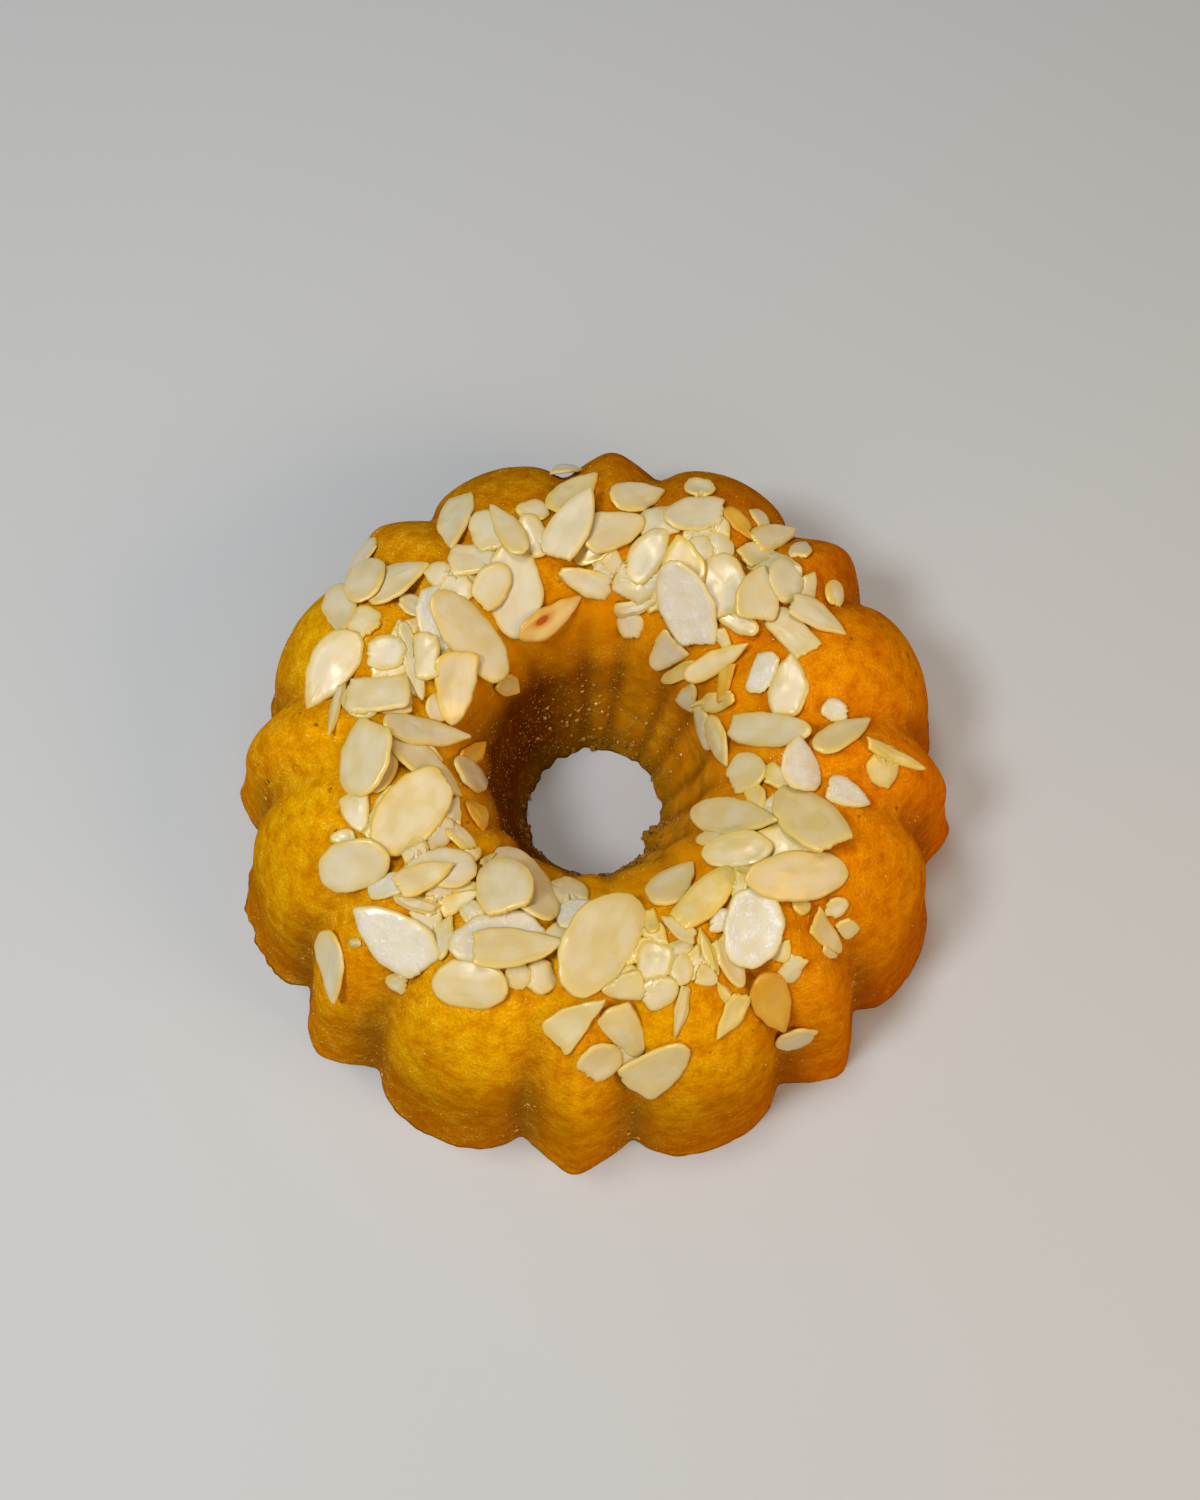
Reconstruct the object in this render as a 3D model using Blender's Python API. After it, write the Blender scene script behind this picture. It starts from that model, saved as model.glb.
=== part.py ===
"""A ring cake from a fluted tin, with flaked almonds lying on its crown.

The cake stands on its flat base. The origin is the middle of the hole on the resting plane, +Z is up,
and the pointed ridges lie every 45 degrees from +X. All lengths are written in millimetres and turned
into metres by MM.
"""
import bpy
import bmesh
import random
from math import acos, atan2, cos, hypot, pi, radians, sin, sqrt
from mathutils import Vector
from mathutils.bvhtree import BVHTree

MM = 0.001

# The tin's arch along a valley between two flutes, as radius from the axis and height above the base
VALLEY_RADIUS = 91.3        # outer wall at the base
WALL_DRAFT = 0.214          # how far the outer wall leans in for each millimetre it rises
WALL_HEIGHT = 27.5          # where the outer wall turns into the arch
CROWN_RADIUS = 56.6         # ring along the top of the arch
CROWN_HEIGHT = 63.1
HOLE_BASE_RADIUS = 19.5     # mouth of the hole on the resting plane
HOLE_TOP_RADIUS = 31.0      # where the arch turns into the hole's wall
HOLE_WALL_HEIGHT = 36.9
SHOULDER_RADIUS = VALLEY_RADIUS - WALL_DRAFT * WALL_HEIGHT
HOLE_DRAFT = (HOLE_TOP_RADIUS - HOLE_BASE_RADIUS) / HOLE_WALL_HEIGHT
SHOULDER_EASE = 20.0        # how far above and below the shoulder the wall is eased into the arch
HOLE_EASE = 14.0            # the same where the arch meets the hole's wall

# The flutes: round lobes with a pointed ridge between each pair
FLUTES = 8
SECTOR = 2 * pi / FLUTES
RIDGE_HALF_ANGLE = radians(9.76)
LOBE_DEPTH = 8.8
RIDGE_DEPTH = 9.7
RIDGE_ROUNDING = 0.16       # softness of a ridge's crest, as a share of its half width
FLUTE_FADE = 0.47           # how much faster than in step with the radius the flutes fade inwards
FLUTE_LEFT_IN_HOLE = 0.10   # share of the depth that is left at the mouth of the hole
BLUR_AT_WALL = radians(0.9)
BLUR_IN_HOLE = radians(3.1)
OVALNESS = 0.011            # the cake settled a little oval as it left the tin
OVAL_BEARING = radians(51)

# How finely the cake's solid is divided
COLUMNS = 144
WALL_STEPS = 4
OUTER_ARCH_STEPS = 8
INNER_ARCH_STEPS = 6
HOLE_STEPS = 3

# The almond slices
SLICE_THICKNESS = 1.1
SLICE_GAP = 0.35            # air left between a slice and what it lies on
SLICE_SIDES = 12
SLICE_BOW = 0.07            # most that a slice's middle line bends, as a share of its width
PROBE_COLUMNS = 13
PROBE_ROWS = 7
PROBE_HEIGHT = 60.0
SHAPE_SEED = 11

# How fast each outline widens from its two ends: 0.5 is round, more is pointed, less is broken off square
OUTLINES = {
    "oval": (0.50, 0.50),
    "leaf": (0.50, 0.85),
    "cut": (0.15, 0.50),
    "cut_leaf": (0.15, 0.85),
    "slab": (0.15, 0.15),
}

# The larger slices in the order in which they fell. Each row is laid out by hand: tone, outline, bearing
# of its middle in degrees, its middle's radius on the tin's arch, its turn in degrees from pointing
# away from the hole, its length and its width.
SLICES = [
    ("ivory", "leaf", 192, 45, 140, 23, 9),
    ("ivory", "leaf", 224, 53, -35, 19, 11),
    ("ivory", "oval", 247, 68, 110, 18, 12),
    ("golden", "oval", 332, 54, 30, 18, 9),
    ("golden", "leaf", 98, 67, -45, 18, 10),
    ("ivory", "slab", 32, 57, -80, 16, 8),
    ("ivory", "leaf", 124, 70, 145, 20, 10),
    ("ivory", "oval", 121, 47, 160, 24, 14),
    ("ivory", "leaf", 144, 66, -120, 19, 12),
    ("ivory", "leaf", 155, 72, 135, 18, 9),
    ("ivory", "leaf", 168, 68, 65, 22, 11),
    ("ivory", "leaf", 180, 45, -175, 25, 8),
    ("ivory", "leaf", 192, 34, 180, 18, 9),
    ("ivory", "leaf", 223, 80, 55, 17, 11),
    ("frosted", "oval", 248, 57, 130, 24, 12),
    ("ivory", "oval", 247, 42, 45, 27, 14),
    ("ivory", "leaf", 300, 43, 120, 16, 10),
    ("ivory", "oval", 322, 47, 40, 17, 9),
    ("ivory", "cut", 278, 72, 25, 15, 9),
    ("ivory", "leaf", 84, 67, -50, 16, 9),
    ("ivory", "cut", 89, 57, -65, 17, 11),
    ("ivory", "oval", 78, 52, 165, 16, 9),
    ("ivory", "oval", 70, 65, -50, 18, 11),
    ("ivory", "oval", 54, 53, -130, 18, 13),
    ("golden", "leaf", 68, 52, 30, 16, 11),
    ("ivory", "leaf", 19, 51, 65, 16, 10),
    ("ivory", "leaf", 116, 60, 5, 19, 7),
    ("ivory", "oval", 147, 71, 125, 15, 11),
    ("golden", "cut_leaf", 161, 42, 125, 18, 11),
    ("ivory", "oval", 143, 45, 175, 28, 13),
    ("ivory", "leaf", 100, 57, -35, 22, 11),
    ("ivory", "oval", 189, 58, 75, 21, 13),
    ("golden", "oval", 206, 51, 30, 26, 15),
    ("ivory", "oval", 212, 67, 165, 19, 12),
    ("frosted", "leaf", 229, 69, -85, 24, 14),
    ("ivory", "leaf", 252, 58, 115, 24, 10),
    ("ivory", "oval", 242, 48, 35, 18, 13),
    ("ivory", "oval", 274, 54, 145, 28, 16),
    ("golden", "oval", 304, 50, -75, 21, 9),
    ("frosted", "oval", 310, 61, -45, 19, 14),
    ("ivory", "oval", 326, 60, 45, 26, 12),
    ("ivory", "oval", 340, 57, -25, 22, 14),
    ("ivory", "leaf", 334, 41, 5, 27, 10),
    ("ivory", "oval", 8, 44, -20, 26, 9),
    ("golden", "leaf", 10, 34, -70, 16, 8),
    ("frosted", "oval", 60, 45, -130, 24, 14),
    ("ivory", "leaf", 45, 56, 40, 17, 11),
    ("ivory", "oval", 44, 63, -135, 12, 10),
    ("golden", "leaf", 54, 72, -12, 19, 8),
    ("ivory", "leaf", 33, 63, -55, 18, 8),
    ("toasted", "leaf", 112, 40, -80, 19, 8),
    ("ivory", "leaf", 4, 61, 30, 18, 7),
    ("ivory", "oval", 351, 40, 10, 12, 11),
    ("golden", "leaf", 306, 76, 0, 19, 10),
    ("ivory", "cut_leaf", 269, 69, 135, 17, 9),
    ("ivory", "oval", 273, 76, 110, 11, 10),
    ("ivory", "cut", 283, 78, 130, 19, 13),
    ("ivory", "oval", 308, 84, 40, 11, 10),
]

# Colour (red, green, blue), roughness
FINISHES = {
    "cake": ((0.53, 0.24, 0.015), 0.62),
    "ivory": ((0.72, 0.62, 0.40), 0.42),
    "golden": ((0.70, 0.50, 0.16), 0.35),
    "frosted": ((0.78, 0.72, 0.58), 0.38),
    "toasted": ((0.66, 0.42, 0.12), 0.42),
}


def clear_scene():
    for thing in list(bpy.data.objects):
        bpy.data.objects.remove(thing, do_unlink=True)


def make_material(name):
    colour, roughness = FINISHES[name]
    material = bpy.data.materials.new(name)
    material.use_nodes = True
    shader = material.node_tree.nodes["Principled BSDF"]
    shader.inputs["Base Color"].default_value = (*colour, 1.0)
    shader.inputs["Roughness"].default_value = roughness
    shader.inputs["Metallic"].default_value = 0.0
    return material


def add_object(name, bm, material, sharp_angle):
    mesh = bpy.data.meshes.new(name)
    bm.to_mesh(mesh)
    bm.free()
    mesh.shade_smooth()
    mesh.set_sharp_from_angle(angle=sharp_angle)
    mesh.materials.append(material)
    thing = bpy.data.objects.new(name, mesh)
    bpy.context.collection.objects.link(thing)
    return thing


def eased(draft, rise, ease):
    """How far a leaning wall swells to run smoothly into the arch, at a height above or below the join."""
    return draft * max(ease - abs(rise), 0.0) ** 2 / (4 * ease)


def arch_station(reach):
    """The tin's valley arch at one station: radius, height, and outward normal as (radial, up)."""
    if reach >= SHOULDER_RADIUS:
        height = (VALLEY_RADIUS - reach) / WALL_DRAFT
        return reach + eased(WALL_DRAFT, height - WALL_HEIGHT, SHOULDER_EASE), height, 1.0, 0.0
    if reach < HOLE_TOP_RADIUS:
        height = (reach - HOLE_BASE_RADIUS) / HOLE_DRAFT
        return reach - eased(HOLE_DRAFT, height - HOLE_WALL_HEIGHT, HOLE_EASE), height, -1.0, 0.0
    if reach >= CROWN_RADIUS:
        span, side = SHOULDER_RADIUS - CROWN_RADIUS, 1
        foot, draft, ease = WALL_HEIGHT, WALL_DRAFT, SHOULDER_EASE
    else:
        span, side = CROWN_RADIUS - HOLE_TOP_RADIUS, -1
        foot, draft, ease = HOLE_WALL_HEIGHT, HOLE_DRAFT, HOLE_EASE
    turn = acos(min(abs(reach - CROWN_RADIUS) / span, 1.0))
    rise = (CROWN_HEIGHT - foot) * sin(turn)
    radial, up = (CROWN_HEIGHT - foot) * cos(turn), span * sin(turn)
    length = hypot(radial, up)
    return reach + side * eased(draft, rise, ease), foot + rise, side * radial / length, up / length


def arch_reaches():
    """Radii of the arch's stations, from the outer base over the crown to the mouth of the hole."""
    wall = [VALLEY_RADIUS + (SHOULDER_RADIUS - VALLEY_RADIUS) * i / WALL_STEPS for i in range(WALL_STEPS)]
    outer = [CROWN_RADIUS + (SHOULDER_RADIUS - CROWN_RADIUS) * cos(pi / 2 * i / OUTER_ARCH_STEPS)
             for i in range(OUTER_ARCH_STEPS)]
    inner = [CROWN_RADIUS - (CROWN_RADIUS - HOLE_TOP_RADIUS) * sin(pi / 2 * i / INNER_ARCH_STEPS)
             for i in range(INNER_ARCH_STEPS)]
    hole = [HOLE_TOP_RADIUS + (HOLE_BASE_RADIUS - HOLE_TOP_RADIUS) * i / HOLE_STEPS
            for i in range(HOLE_STEPS + 1)]
    return wall + outer + inner + hole


def sharp_flute(bearing):
    """Depth of the flutes at a bearing, before the tin's rounding: ridges at whole sectors."""
    offset = abs((bearing + SECTOR / 2) % SECTOR - SECTOR / 2)
    across = offset / RIDGE_HALF_ANGLE
    if across < 1:
        crest = sqrt(1 + RIDGE_ROUNDING ** 2)
        return RIDGE_DEPTH * (crest - hypot(across, RIDGE_ROUNDING)) / (crest - RIDGE_ROUNDING)
    across = (SECTOR / 2 - offset) / (SECTOR / 2 - RIDGE_HALF_ANGLE)
    return LOBE_DEPTH * sqrt(max(1 - across * across, 0.0))


def flute_depth(bearing, reach):
    """Depth of the flutes at a bearing and a radius: softer and shallower towards the hole."""
    outwards = (reach - HOLE_BASE_RADIUS) / (VALLEY_RADIUS - HOLE_BASE_RADIUS)
    share = (1 - FLUTE_FADE) * outwards + FLUTE_FADE * outwards ** 2
    share = FLUTE_LEFT_IN_HOLE + (1 - FLUTE_LEFT_IN_HOLE) * share
    blur = BLUR_IN_HOLE + (BLUR_AT_WALL - BLUR_IN_HOLE) * outwards
    taps = ((-1.5, 1), (-0.75, 2), (0, 3), (0.75, 2), (1.5, 1))
    total = sum(weight * sharp_flute(bearing + step * blur) for step, weight in taps)
    return share * total / sum(weight for _, weight in taps)


def cake_point(bearing, reach):
    """A point of the cake's skin, in metres."""
    radius, height, radial, up = arch_station(reach)
    depth = flute_depth(bearing, reach) / hypot(radial, up)
    radius = (radius + radial * depth) * (1 + OVALNESS * cos(2 * (bearing - OVAL_BEARING)))
    height = max(height + up * depth, 0.0)
    return Vector((radius * cos(bearing), radius * sin(bearing), height)) * MM


def build_cake(material):
    """Spin the arch round the axis, close it along the base, then press the flutes in."""
    reaches = arch_reaches()
    bm = bmesh.new()
    station = bm.verts.layers.int.new("station")
    ring = []
    for index, reach in enumerate(reaches):
        radius, height = arch_station(reach)[:2]
        vert = bm.verts.new((radius * MM, 0, height * MM))
        vert[station] = index
        ring.append(vert)
    edges = [bm.edges.new((a, b)) for a, b in zip(ring, ring[1:] + ring[:1])]
    bmesh.ops.spin(bm, geom=ring + edges, cent=(0, 0, 0), axis=(0, 0, 1), angle=2 * pi,
                   steps=COLUMNS, use_merge=True)
    for vert in bm.verts:
        bearing = atan2(vert.co.y, vert.co.x)
        vert.co = cake_point(bearing, reaches[vert[station]])
    bmesh.ops.triangulate(bm, faces=bm.faces)
    bmesh.ops.recalc_face_normals(bm, faces=bm.faces)
    return add_object("cake", bm, material, radians(60))


def outline_half_width(kind, share):
    """Half width of a slice at a share of its length from the butt to the tip, as a share of its width."""
    butt, tip = OUTLINES[kind]
    widest = butt / (butt + tip)
    return 0.5 * (share / widest) ** butt * ((1 - share) / (1 - widest)) ** tip


def outline_points(kind, length, width, bow, sides):
    """The slice's outline as (along, across) pairs in millimetres, going round once."""
    points = []
    for side in range(sides):
        angle = 2 * pi * side / sides
        share = (1 - cos(angle)) / 2
        across = width * outline_half_width(kind, share) * (1 if sin(angle) >= 0 else -1)
        if side % (sides // 2) == 0:
            across = 0.0
        across += bow * width * sin(pi * share)
        points.append(((share - 0.5) * length, across))
    return points


def slice_frame(bearing, reach, turn):
    """Where a slice is dropped from: axes along it, across it and out of the cake, and its middle."""
    radius, height, radial, up = arch_station(reach)
    outwards = Vector((cos(bearing), sin(bearing), 0))
    normal = (outwards * radial + Vector((0, 0, up))).normalized()
    down_slope = (outwards - normal * outwards.dot(normal)).normalized()
    sideways = normal.cross(down_slope)
    along = down_slope * cos(turn) + sideways * sin(turn)
    across = normal.cross(along)
    middle = (outwards * radius + Vector((0, 0, height))) * MM
    return along, across, normal, middle


def inside_outline(kind, length, width, bow, along, across):
    share = along / length + 0.5
    if not 0 < share < 1:
        return False
    return abs(across - bow * width * sin(pi * share)) < width * outline_half_width(kind, share)


def probe_heights(tree, verts, frame, shape):
    """Heights under a slice along its normal, as points in its own frame, in millimetres."""
    kind, length, width, bow = shape
    along, across, normal, middle = frame
    places = outline_points(kind, length, width, bow, 4 * SLICE_SIDES)
    for i in range(PROBE_COLUMNS):
        for j in range(PROBE_ROWS):
            u = length * ((i + 0.5) / PROBE_COLUMNS - 0.5)
            v = width * ((j + 0.5) / PROBE_ROWS - 0.5)
            if inside_outline(kind, length, width, bow, u, v):
                places.append((u, v))
    heights = []
    for u, v in places:
        start = middle + (along * u + across * v + normal * PROBE_HEIGHT) * MM
        hit = tree.ray_cast(start, -normal)[0]
        if hit is not None:
            heights.append(Vector((u, v, (hit - middle).dot(normal) / MM)))
    for corner in verts:
        local = corner - middle
        u, v = local.dot(along) / MM, local.dot(across) / MM
        if inside_outline(kind, length, width, bow, u, v):
            heights.append(Vector((u, v, local.dot(normal) / MM)))
    return heights


def resting_plane(heights):
    """The plane that a stiff slice comes to rest on: the facet of the heap's hull under its middle."""
    bm = bmesh.new()
    for place in heights:
        bm.verts.new(place)
    bmesh.ops.convex_hull(bm, input=bm.verts)
    bm.normal_update()
    hull = BVHTree.FromBMesh(bm)
    place, normal = hull.ray_cast(Vector((0, 0, PROBE_HEIGHT)), Vector((0, 0, -1)))[:2]
    bm.free()
    if normal.z < 0:
        normal = -normal
    return place.z, normal


def build_slice(name, row, tree, verts, rng, material):
    """Cut one slice to its outline, give it its thickness and lay it on the cake and the slices below."""
    tone, kind, bearing, reach, turn, length, width = row
    bow = rng.uniform(-SLICE_BOW, SLICE_BOW)
    frame = slice_frame(radians(bearing), reach, radians(turn))
    along, across, normal, middle = frame
    height, tilt = resting_plane(probe_heights(tree, verts, frame, (kind, length, width, bow)))
    bm = bmesh.new()
    bmesh.ops.create_circle(bm, cap_ends=True, radius=1, segments=SLICE_SIDES)
    points = outline_points(kind, length, width, bow, SLICE_SIDES)
    for vert, (u, v) in zip(bm.verts, points):
        rise = height - (tilt.x * u + tilt.y * v) / tilt.z + SLICE_GAP
        vert.co = middle + (along * u + across * v + normal * rise) * MM
    lift = (along * tilt.x + across * tilt.y + normal * tilt.z) * SLICE_THICKNESS * MM
    raised = bmesh.ops.extrude_face_region(bm, geom=bm.faces[:], use_keep_orig=True)
    top = [element for element in raised["geom"] if isinstance(element, bmesh.types.BMVert)]
    bmesh.ops.translate(bm, vec=lift, verts=top)
    bmesh.ops.triangulate(bm, faces=bm.faces)
    bmesh.ops.recalc_face_normals(bm, faces=bm.faces)
    return add_object(name, bm, material, radians(40))


def join_trees(objects):
    """One tree of all triangles laid so far, for the next slice to land on."""
    bm = bmesh.new()
    for thing in objects:
        bm.from_mesh(thing.data)
    tree = BVHTree.FromBMesh(bm)
    bm.free()
    return tree


def build():
    clear_scene()
    materials = {name: make_material(name) for name in FINISHES}
    laid = [build_cake(materials["cake"])]
    corners = []
    rng = random.Random(SHAPE_SEED)
    counts = {}
    for row in SLICES:
        tone = row[0]
        counts[tone] = counts.get(tone, 0) + 1
        name = f"almond_{tone}_{counts[tone]:02d}"
        thing = build_slice(name, row, join_trees(laid), corners, rng, materials[tone])
        corners += [vert.co.copy() for vert in thing.data.vertices]
        laid.append(thing)


build()
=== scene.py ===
# %% [markdown]
# # A ring cake with flaked almonds
#
# The real thing is a sponge baked in a fluted ring tin, turned out, brushed with syrup and strewn with
# flaked almonds. The plain solids already exist: one body of cake and 58 flat almond slices, each in its
# true place. A learner could stop there, but a cake is read from its skin: the waves and pores of the
# crumb, the thin golden rim of a wet flake, the sugar that catches the light. This lesson measures the
# plain solids, models a finer mesh over each, and gives every finish its colour and grain.
#
# Blender counts in metres. The sizes below are written in millimetres and turned by MM where they are used.

import random
from math import acos, atan2, cos, hypot, pi, radians, sin, sqrt

import bmesh
import bpy
from mathutils import Matrix, Quaternion, Vector, noise
from mathutils.bvhtree import BVHTree


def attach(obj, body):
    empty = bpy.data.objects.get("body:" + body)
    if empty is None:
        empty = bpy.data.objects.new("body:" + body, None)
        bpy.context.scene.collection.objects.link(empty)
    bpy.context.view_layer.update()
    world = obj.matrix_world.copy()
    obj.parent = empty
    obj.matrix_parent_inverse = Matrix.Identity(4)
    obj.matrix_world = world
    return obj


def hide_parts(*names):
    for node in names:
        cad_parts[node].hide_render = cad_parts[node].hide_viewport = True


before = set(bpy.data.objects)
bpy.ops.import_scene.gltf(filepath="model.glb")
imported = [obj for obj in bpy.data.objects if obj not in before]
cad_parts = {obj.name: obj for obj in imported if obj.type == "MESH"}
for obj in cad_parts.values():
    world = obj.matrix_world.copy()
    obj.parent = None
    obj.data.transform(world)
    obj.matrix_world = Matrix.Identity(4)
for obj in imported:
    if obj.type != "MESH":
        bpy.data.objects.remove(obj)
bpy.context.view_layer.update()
MM = 0.001
scene = bpy.context.scene
slice_nodes = sorted(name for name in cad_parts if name.startswith("almond_"))
print("almond slices among the plain solids:", len(slice_nodes))

# %% [markdown]
# ## Short names for the node editor
#
# Every finish here is procedural: noise and cells, mixed by what the mesh knows about itself. Wiring that
# by hand takes five lines a node, so a small class holds one material and adds a node in one call. Numbers
# and colours that are the same all over the piece go straight onto the shader's own sockets.

# %% A finish under construction
class Finish:
    """One material, with short calls for the nodes that the finishes share."""

    def __init__(self, name, **sockets):
        self.material = bpy.data.materials.new(name)
        self.material.use_nodes = True
        self.tree = self.material.node_tree
        self.shader = self.tree.nodes["Principled BSDF"]
        self.place = self.add("TexCoord").outputs["Object"]
        for key, value in sockets.items():
            self.shader.inputs[key.replace("_", " ")].default_value = value

    def add(self, kind, sockets=None, **settings):
        node = self.tree.nodes.new("ShaderNode" + kind)
        for key, value in settings.items():
            setattr(node, key, value)
        for key, value in (sockets or {}).items():
            if isinstance(value, bpy.types.NodeSocket):
                self.tree.links.new(value, node.inputs[key])
            else:
                node.inputs[key].default_value = value
        return node

    def attribute(self, name, output="Fac"):
        return self.add("Attribute", attribute_name=name).outputs[output]

    def math(self, operation, first, second=0.0):
        return self.add("Math", {0: first, 1: second}, operation=operation).outputs[0]

    def remap(self, value, low, high, to_low=0.0, to_high=1.0):
        """Turn low..high into to_low..to_high with soft ends."""
        sockets = {"Value": value, "From Min": low, "From Max": high, "To Min": to_low, "To Max": to_high}
        return self.add("MapRange", sockets, interpolation_type="SMOOTHSTEP").outputs["Result"]

    def mix(self, share, first, second, blend="MIX"):
        sockets = {0: share, 6: first, 7: second}
        return self.add("Mix", sockets, data_type="RGBA", blend_type=blend).outputs[2]

    def noise(self, vector, size, detail=2.0, roughness=0.5):
        """Soft noise whose lumps are about `size` across, in the vector's own unit."""
        sockets = {"Vector": vector, "Scale": 1 / size, "Detail": detail, "Roughness": roughness}
        return self.add("TexNoise", sockets).outputs["Fac"]

    def cells(self, vector, size, output="Distance"):
        """Distance to the nearest of many scattered points, or that point's own random colour."""
        return self.add("TexVoronoi", {"Vector": vector, "Scale": 1 / size}).outputs[output]

    def stretch(self, vector, scale):
        return self.add("Mapping", {"Vector": vector, "Scale": scale}).outputs[0]

    def bump(self, height, distance, normal=None):
        sockets = {"Height": height, "Distance": distance}
        if normal:
            sockets["Normal"] = normal
        return self.add("Bump", sockets).outputs["Normal"]

    def join(self, **sockets):
        for key, value in sockets.items():
            self.tree.links.new(value, self.shader.inputs[key.replace("_", " ")])
        return self.material


def rgb(red, green, blue):
    return (red, green, blue, 1.0)


# %% [markdown]
# ## The shape of the tin
#
# A fluted ring tin is an arch turned round an axis, with round lobes and pointed ridges pressed outwards
# along the arch's normal. One could subdivide the plain solid, but that shrinks the ridges. The lesson
# repeats the tin's own sizes instead, so the fine skin passes through the plain one's corners.

# %% The arch along a valley between two flutes
VALLEY_RADIUS = 91.3
WALL_DRAFT = 0.214
WALL_HEIGHT = 27.5
CROWN_RADIUS = 56.6
CROWN_HEIGHT = 63.1
HOLE_BASE_RADIUS = 19.5
HOLE_TOP_RADIUS = 31.0
HOLE_WALL_HEIGHT = 36.9
SHOULDER_RADIUS = VALLEY_RADIUS - WALL_DRAFT * WALL_HEIGHT
HOLE_DRAFT = (HOLE_TOP_RADIUS - HOLE_BASE_RADIUS) / HOLE_WALL_HEIGHT
SHOULDER_EASE = 20.0        # how far above and below the shoulder the wall is eased into the arch
HOLE_EASE = 14.0


def smooth_step(share):
    share = min(max(share, 0.0), 1.0)
    return share * share * (3 - 2 * share)


def eased(draft, rise, ease):
    """How far a leaning wall swells to run smoothly into the arch, at a height above or below the join."""
    return draft * max(ease - abs(rise), 0.0) ** 2 / (4 * ease)


def arch_station(reach):
    """The valley arch at one station: radius, height, and its outward normal as (radial, up)."""
    if reach >= SHOULDER_RADIUS:
        height = (VALLEY_RADIUS - reach) / WALL_DRAFT
        return reach + eased(WALL_DRAFT, height - WALL_HEIGHT, SHOULDER_EASE), height, 1.0, 0.0
    if reach < HOLE_TOP_RADIUS:
        height = (reach - HOLE_BASE_RADIUS) / HOLE_DRAFT
        return reach - eased(HOLE_DRAFT, height - HOLE_WALL_HEIGHT, HOLE_EASE), height, -1.0, 0.0
    if reach >= CROWN_RADIUS:
        span, side = SHOULDER_RADIUS - CROWN_RADIUS, 1
        foot, draft, ease = WALL_HEIGHT, WALL_DRAFT, SHOULDER_EASE
    else:
        span, side = CROWN_RADIUS - HOLE_TOP_RADIUS, -1
        foot, draft, ease = HOLE_WALL_HEIGHT, HOLE_DRAFT, HOLE_EASE
    turn = acos(min(abs(reach - CROWN_RADIUS) / span, 1.0))
    rise = (CROWN_HEIGHT - foot) * sin(turn)
    radial, up = (CROWN_HEIGHT - foot) * cos(turn), span * sin(turn)
    length = hypot(radial, up)
    return reach + side * eased(draft, rise, ease), foot + rise, side * radial / length, up / length


# %% The flutes
FLUTES = 8
SECTOR = 2 * pi / FLUTES
RIDGE_HALF_ANGLE = radians(9.76)
LOBE_DEPTH = 8.8
RIDGE_DEPTH = 9.7
RIDGE_ROUNDING = 0.16
FLUTE_FADE = 0.47
FLUTE_LEFT_IN_HOLE = 0.10
BLUR_AT_WALL = radians(0.9)
BLUR_IN_HOLE = radians(3.1)
OVALNESS = 0.011
OVAL_BEARING = radians(51)
BLUR_TAPS = ((-1.5, 1 / 9), (-0.75, 2 / 9), (0, 3 / 9), (0.75, 2 / 9), (1.5, 1 / 9))


def sharp_flute(bearing):
    """Depth of the flutes at a bearing, before rounding: pointed ridges at whole sectors, lobes between."""
    offset = abs((bearing + SECTOR / 2) % SECTOR - SECTOR / 2)
    across = offset / RIDGE_HALF_ANGLE
    if across < 1:
        crest = sqrt(1 + RIDGE_ROUNDING ** 2)
        return RIDGE_DEPTH * (crest - hypot(across, RIDGE_ROUNDING)) / (crest - RIDGE_ROUNDING)
    across = (SECTOR / 2 - offset) / (SECTOR / 2 - RIDGE_HALF_ANGLE)
    return LOBE_DEPTH * sqrt(max(1 - across * across, 0.0))


def flute_depth(bearing, reach):
    """Depth at a bearing and a radius, and the share of the full depth that is left at that radius."""
    outwards = (reach - HOLE_BASE_RADIUS) / (VALLEY_RADIUS - HOLE_BASE_RADIUS)
    share = (1 - FLUTE_FADE) * outwards + FLUTE_FADE * outwards ** 2
    share = FLUTE_LEFT_IN_HOLE + (1 - FLUTE_LEFT_IN_HOLE) * share
    blur = BLUR_IN_HOLE + (BLUR_AT_WALL - BLUR_IN_HOLE) * outwards
    return share * sum(weight * sharp_flute(bearing + step * blur) for step, weight in BLUR_TAPS), share


def skin_point(bearing, reach):
    """A point of the cake's skin, in metres, and how far it stands out of the valleys, from 0 to 1."""
    radius, height, radial, up = arch_station(reach)
    depth, share = flute_depth(bearing, reach)
    depth /= hypot(radial, up)
    radius = (radius + radial * depth) * (1 + OVALNESS * cos(2 * (bearing - OVAL_BEARING)))
    height = max(height + up * depth, 0.0)
    crest = depth / (share * LOBE_DEPTH)
    return Vector((radius * cos(bearing), radius * sin(bearing), height)) * MM, min(crest, 1.0)


print("cake over the lobes in mm:", round(2 * (VALLEY_RADIUS + LOBE_DEPTH), 1))

# %% [markdown]
# ## The cake's skin
#
# The skin is a closed ring of about 93,000 quads, one for each millimetre, which is fine enough for the
# waves of a baked crust to be real relief. The profile is drawn once as a loop of edges, and bmesh's spin
# turns it round the axis. Each corner keeps the number of its station, so it can then be put in its place
# on the fluted skin. Three layers of noise lift it: slow waves from uneven rising, lumps of a few
# millimetres, and a fine crumb. Along the base a thin ragged lip shows where batter crept under the rim,
# and the mouth of the hole is torn, with one thicker flap, where the cake stuck as it left the tin.

# %% Stations of the profile
COLUMNS = 80
CUTS = 7                    # each column is then cut into eight


def spread(start, end, steps, curve=lambda share: share):
    return [start + (end - start) * curve(i / steps) for i in range(steps)]


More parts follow.
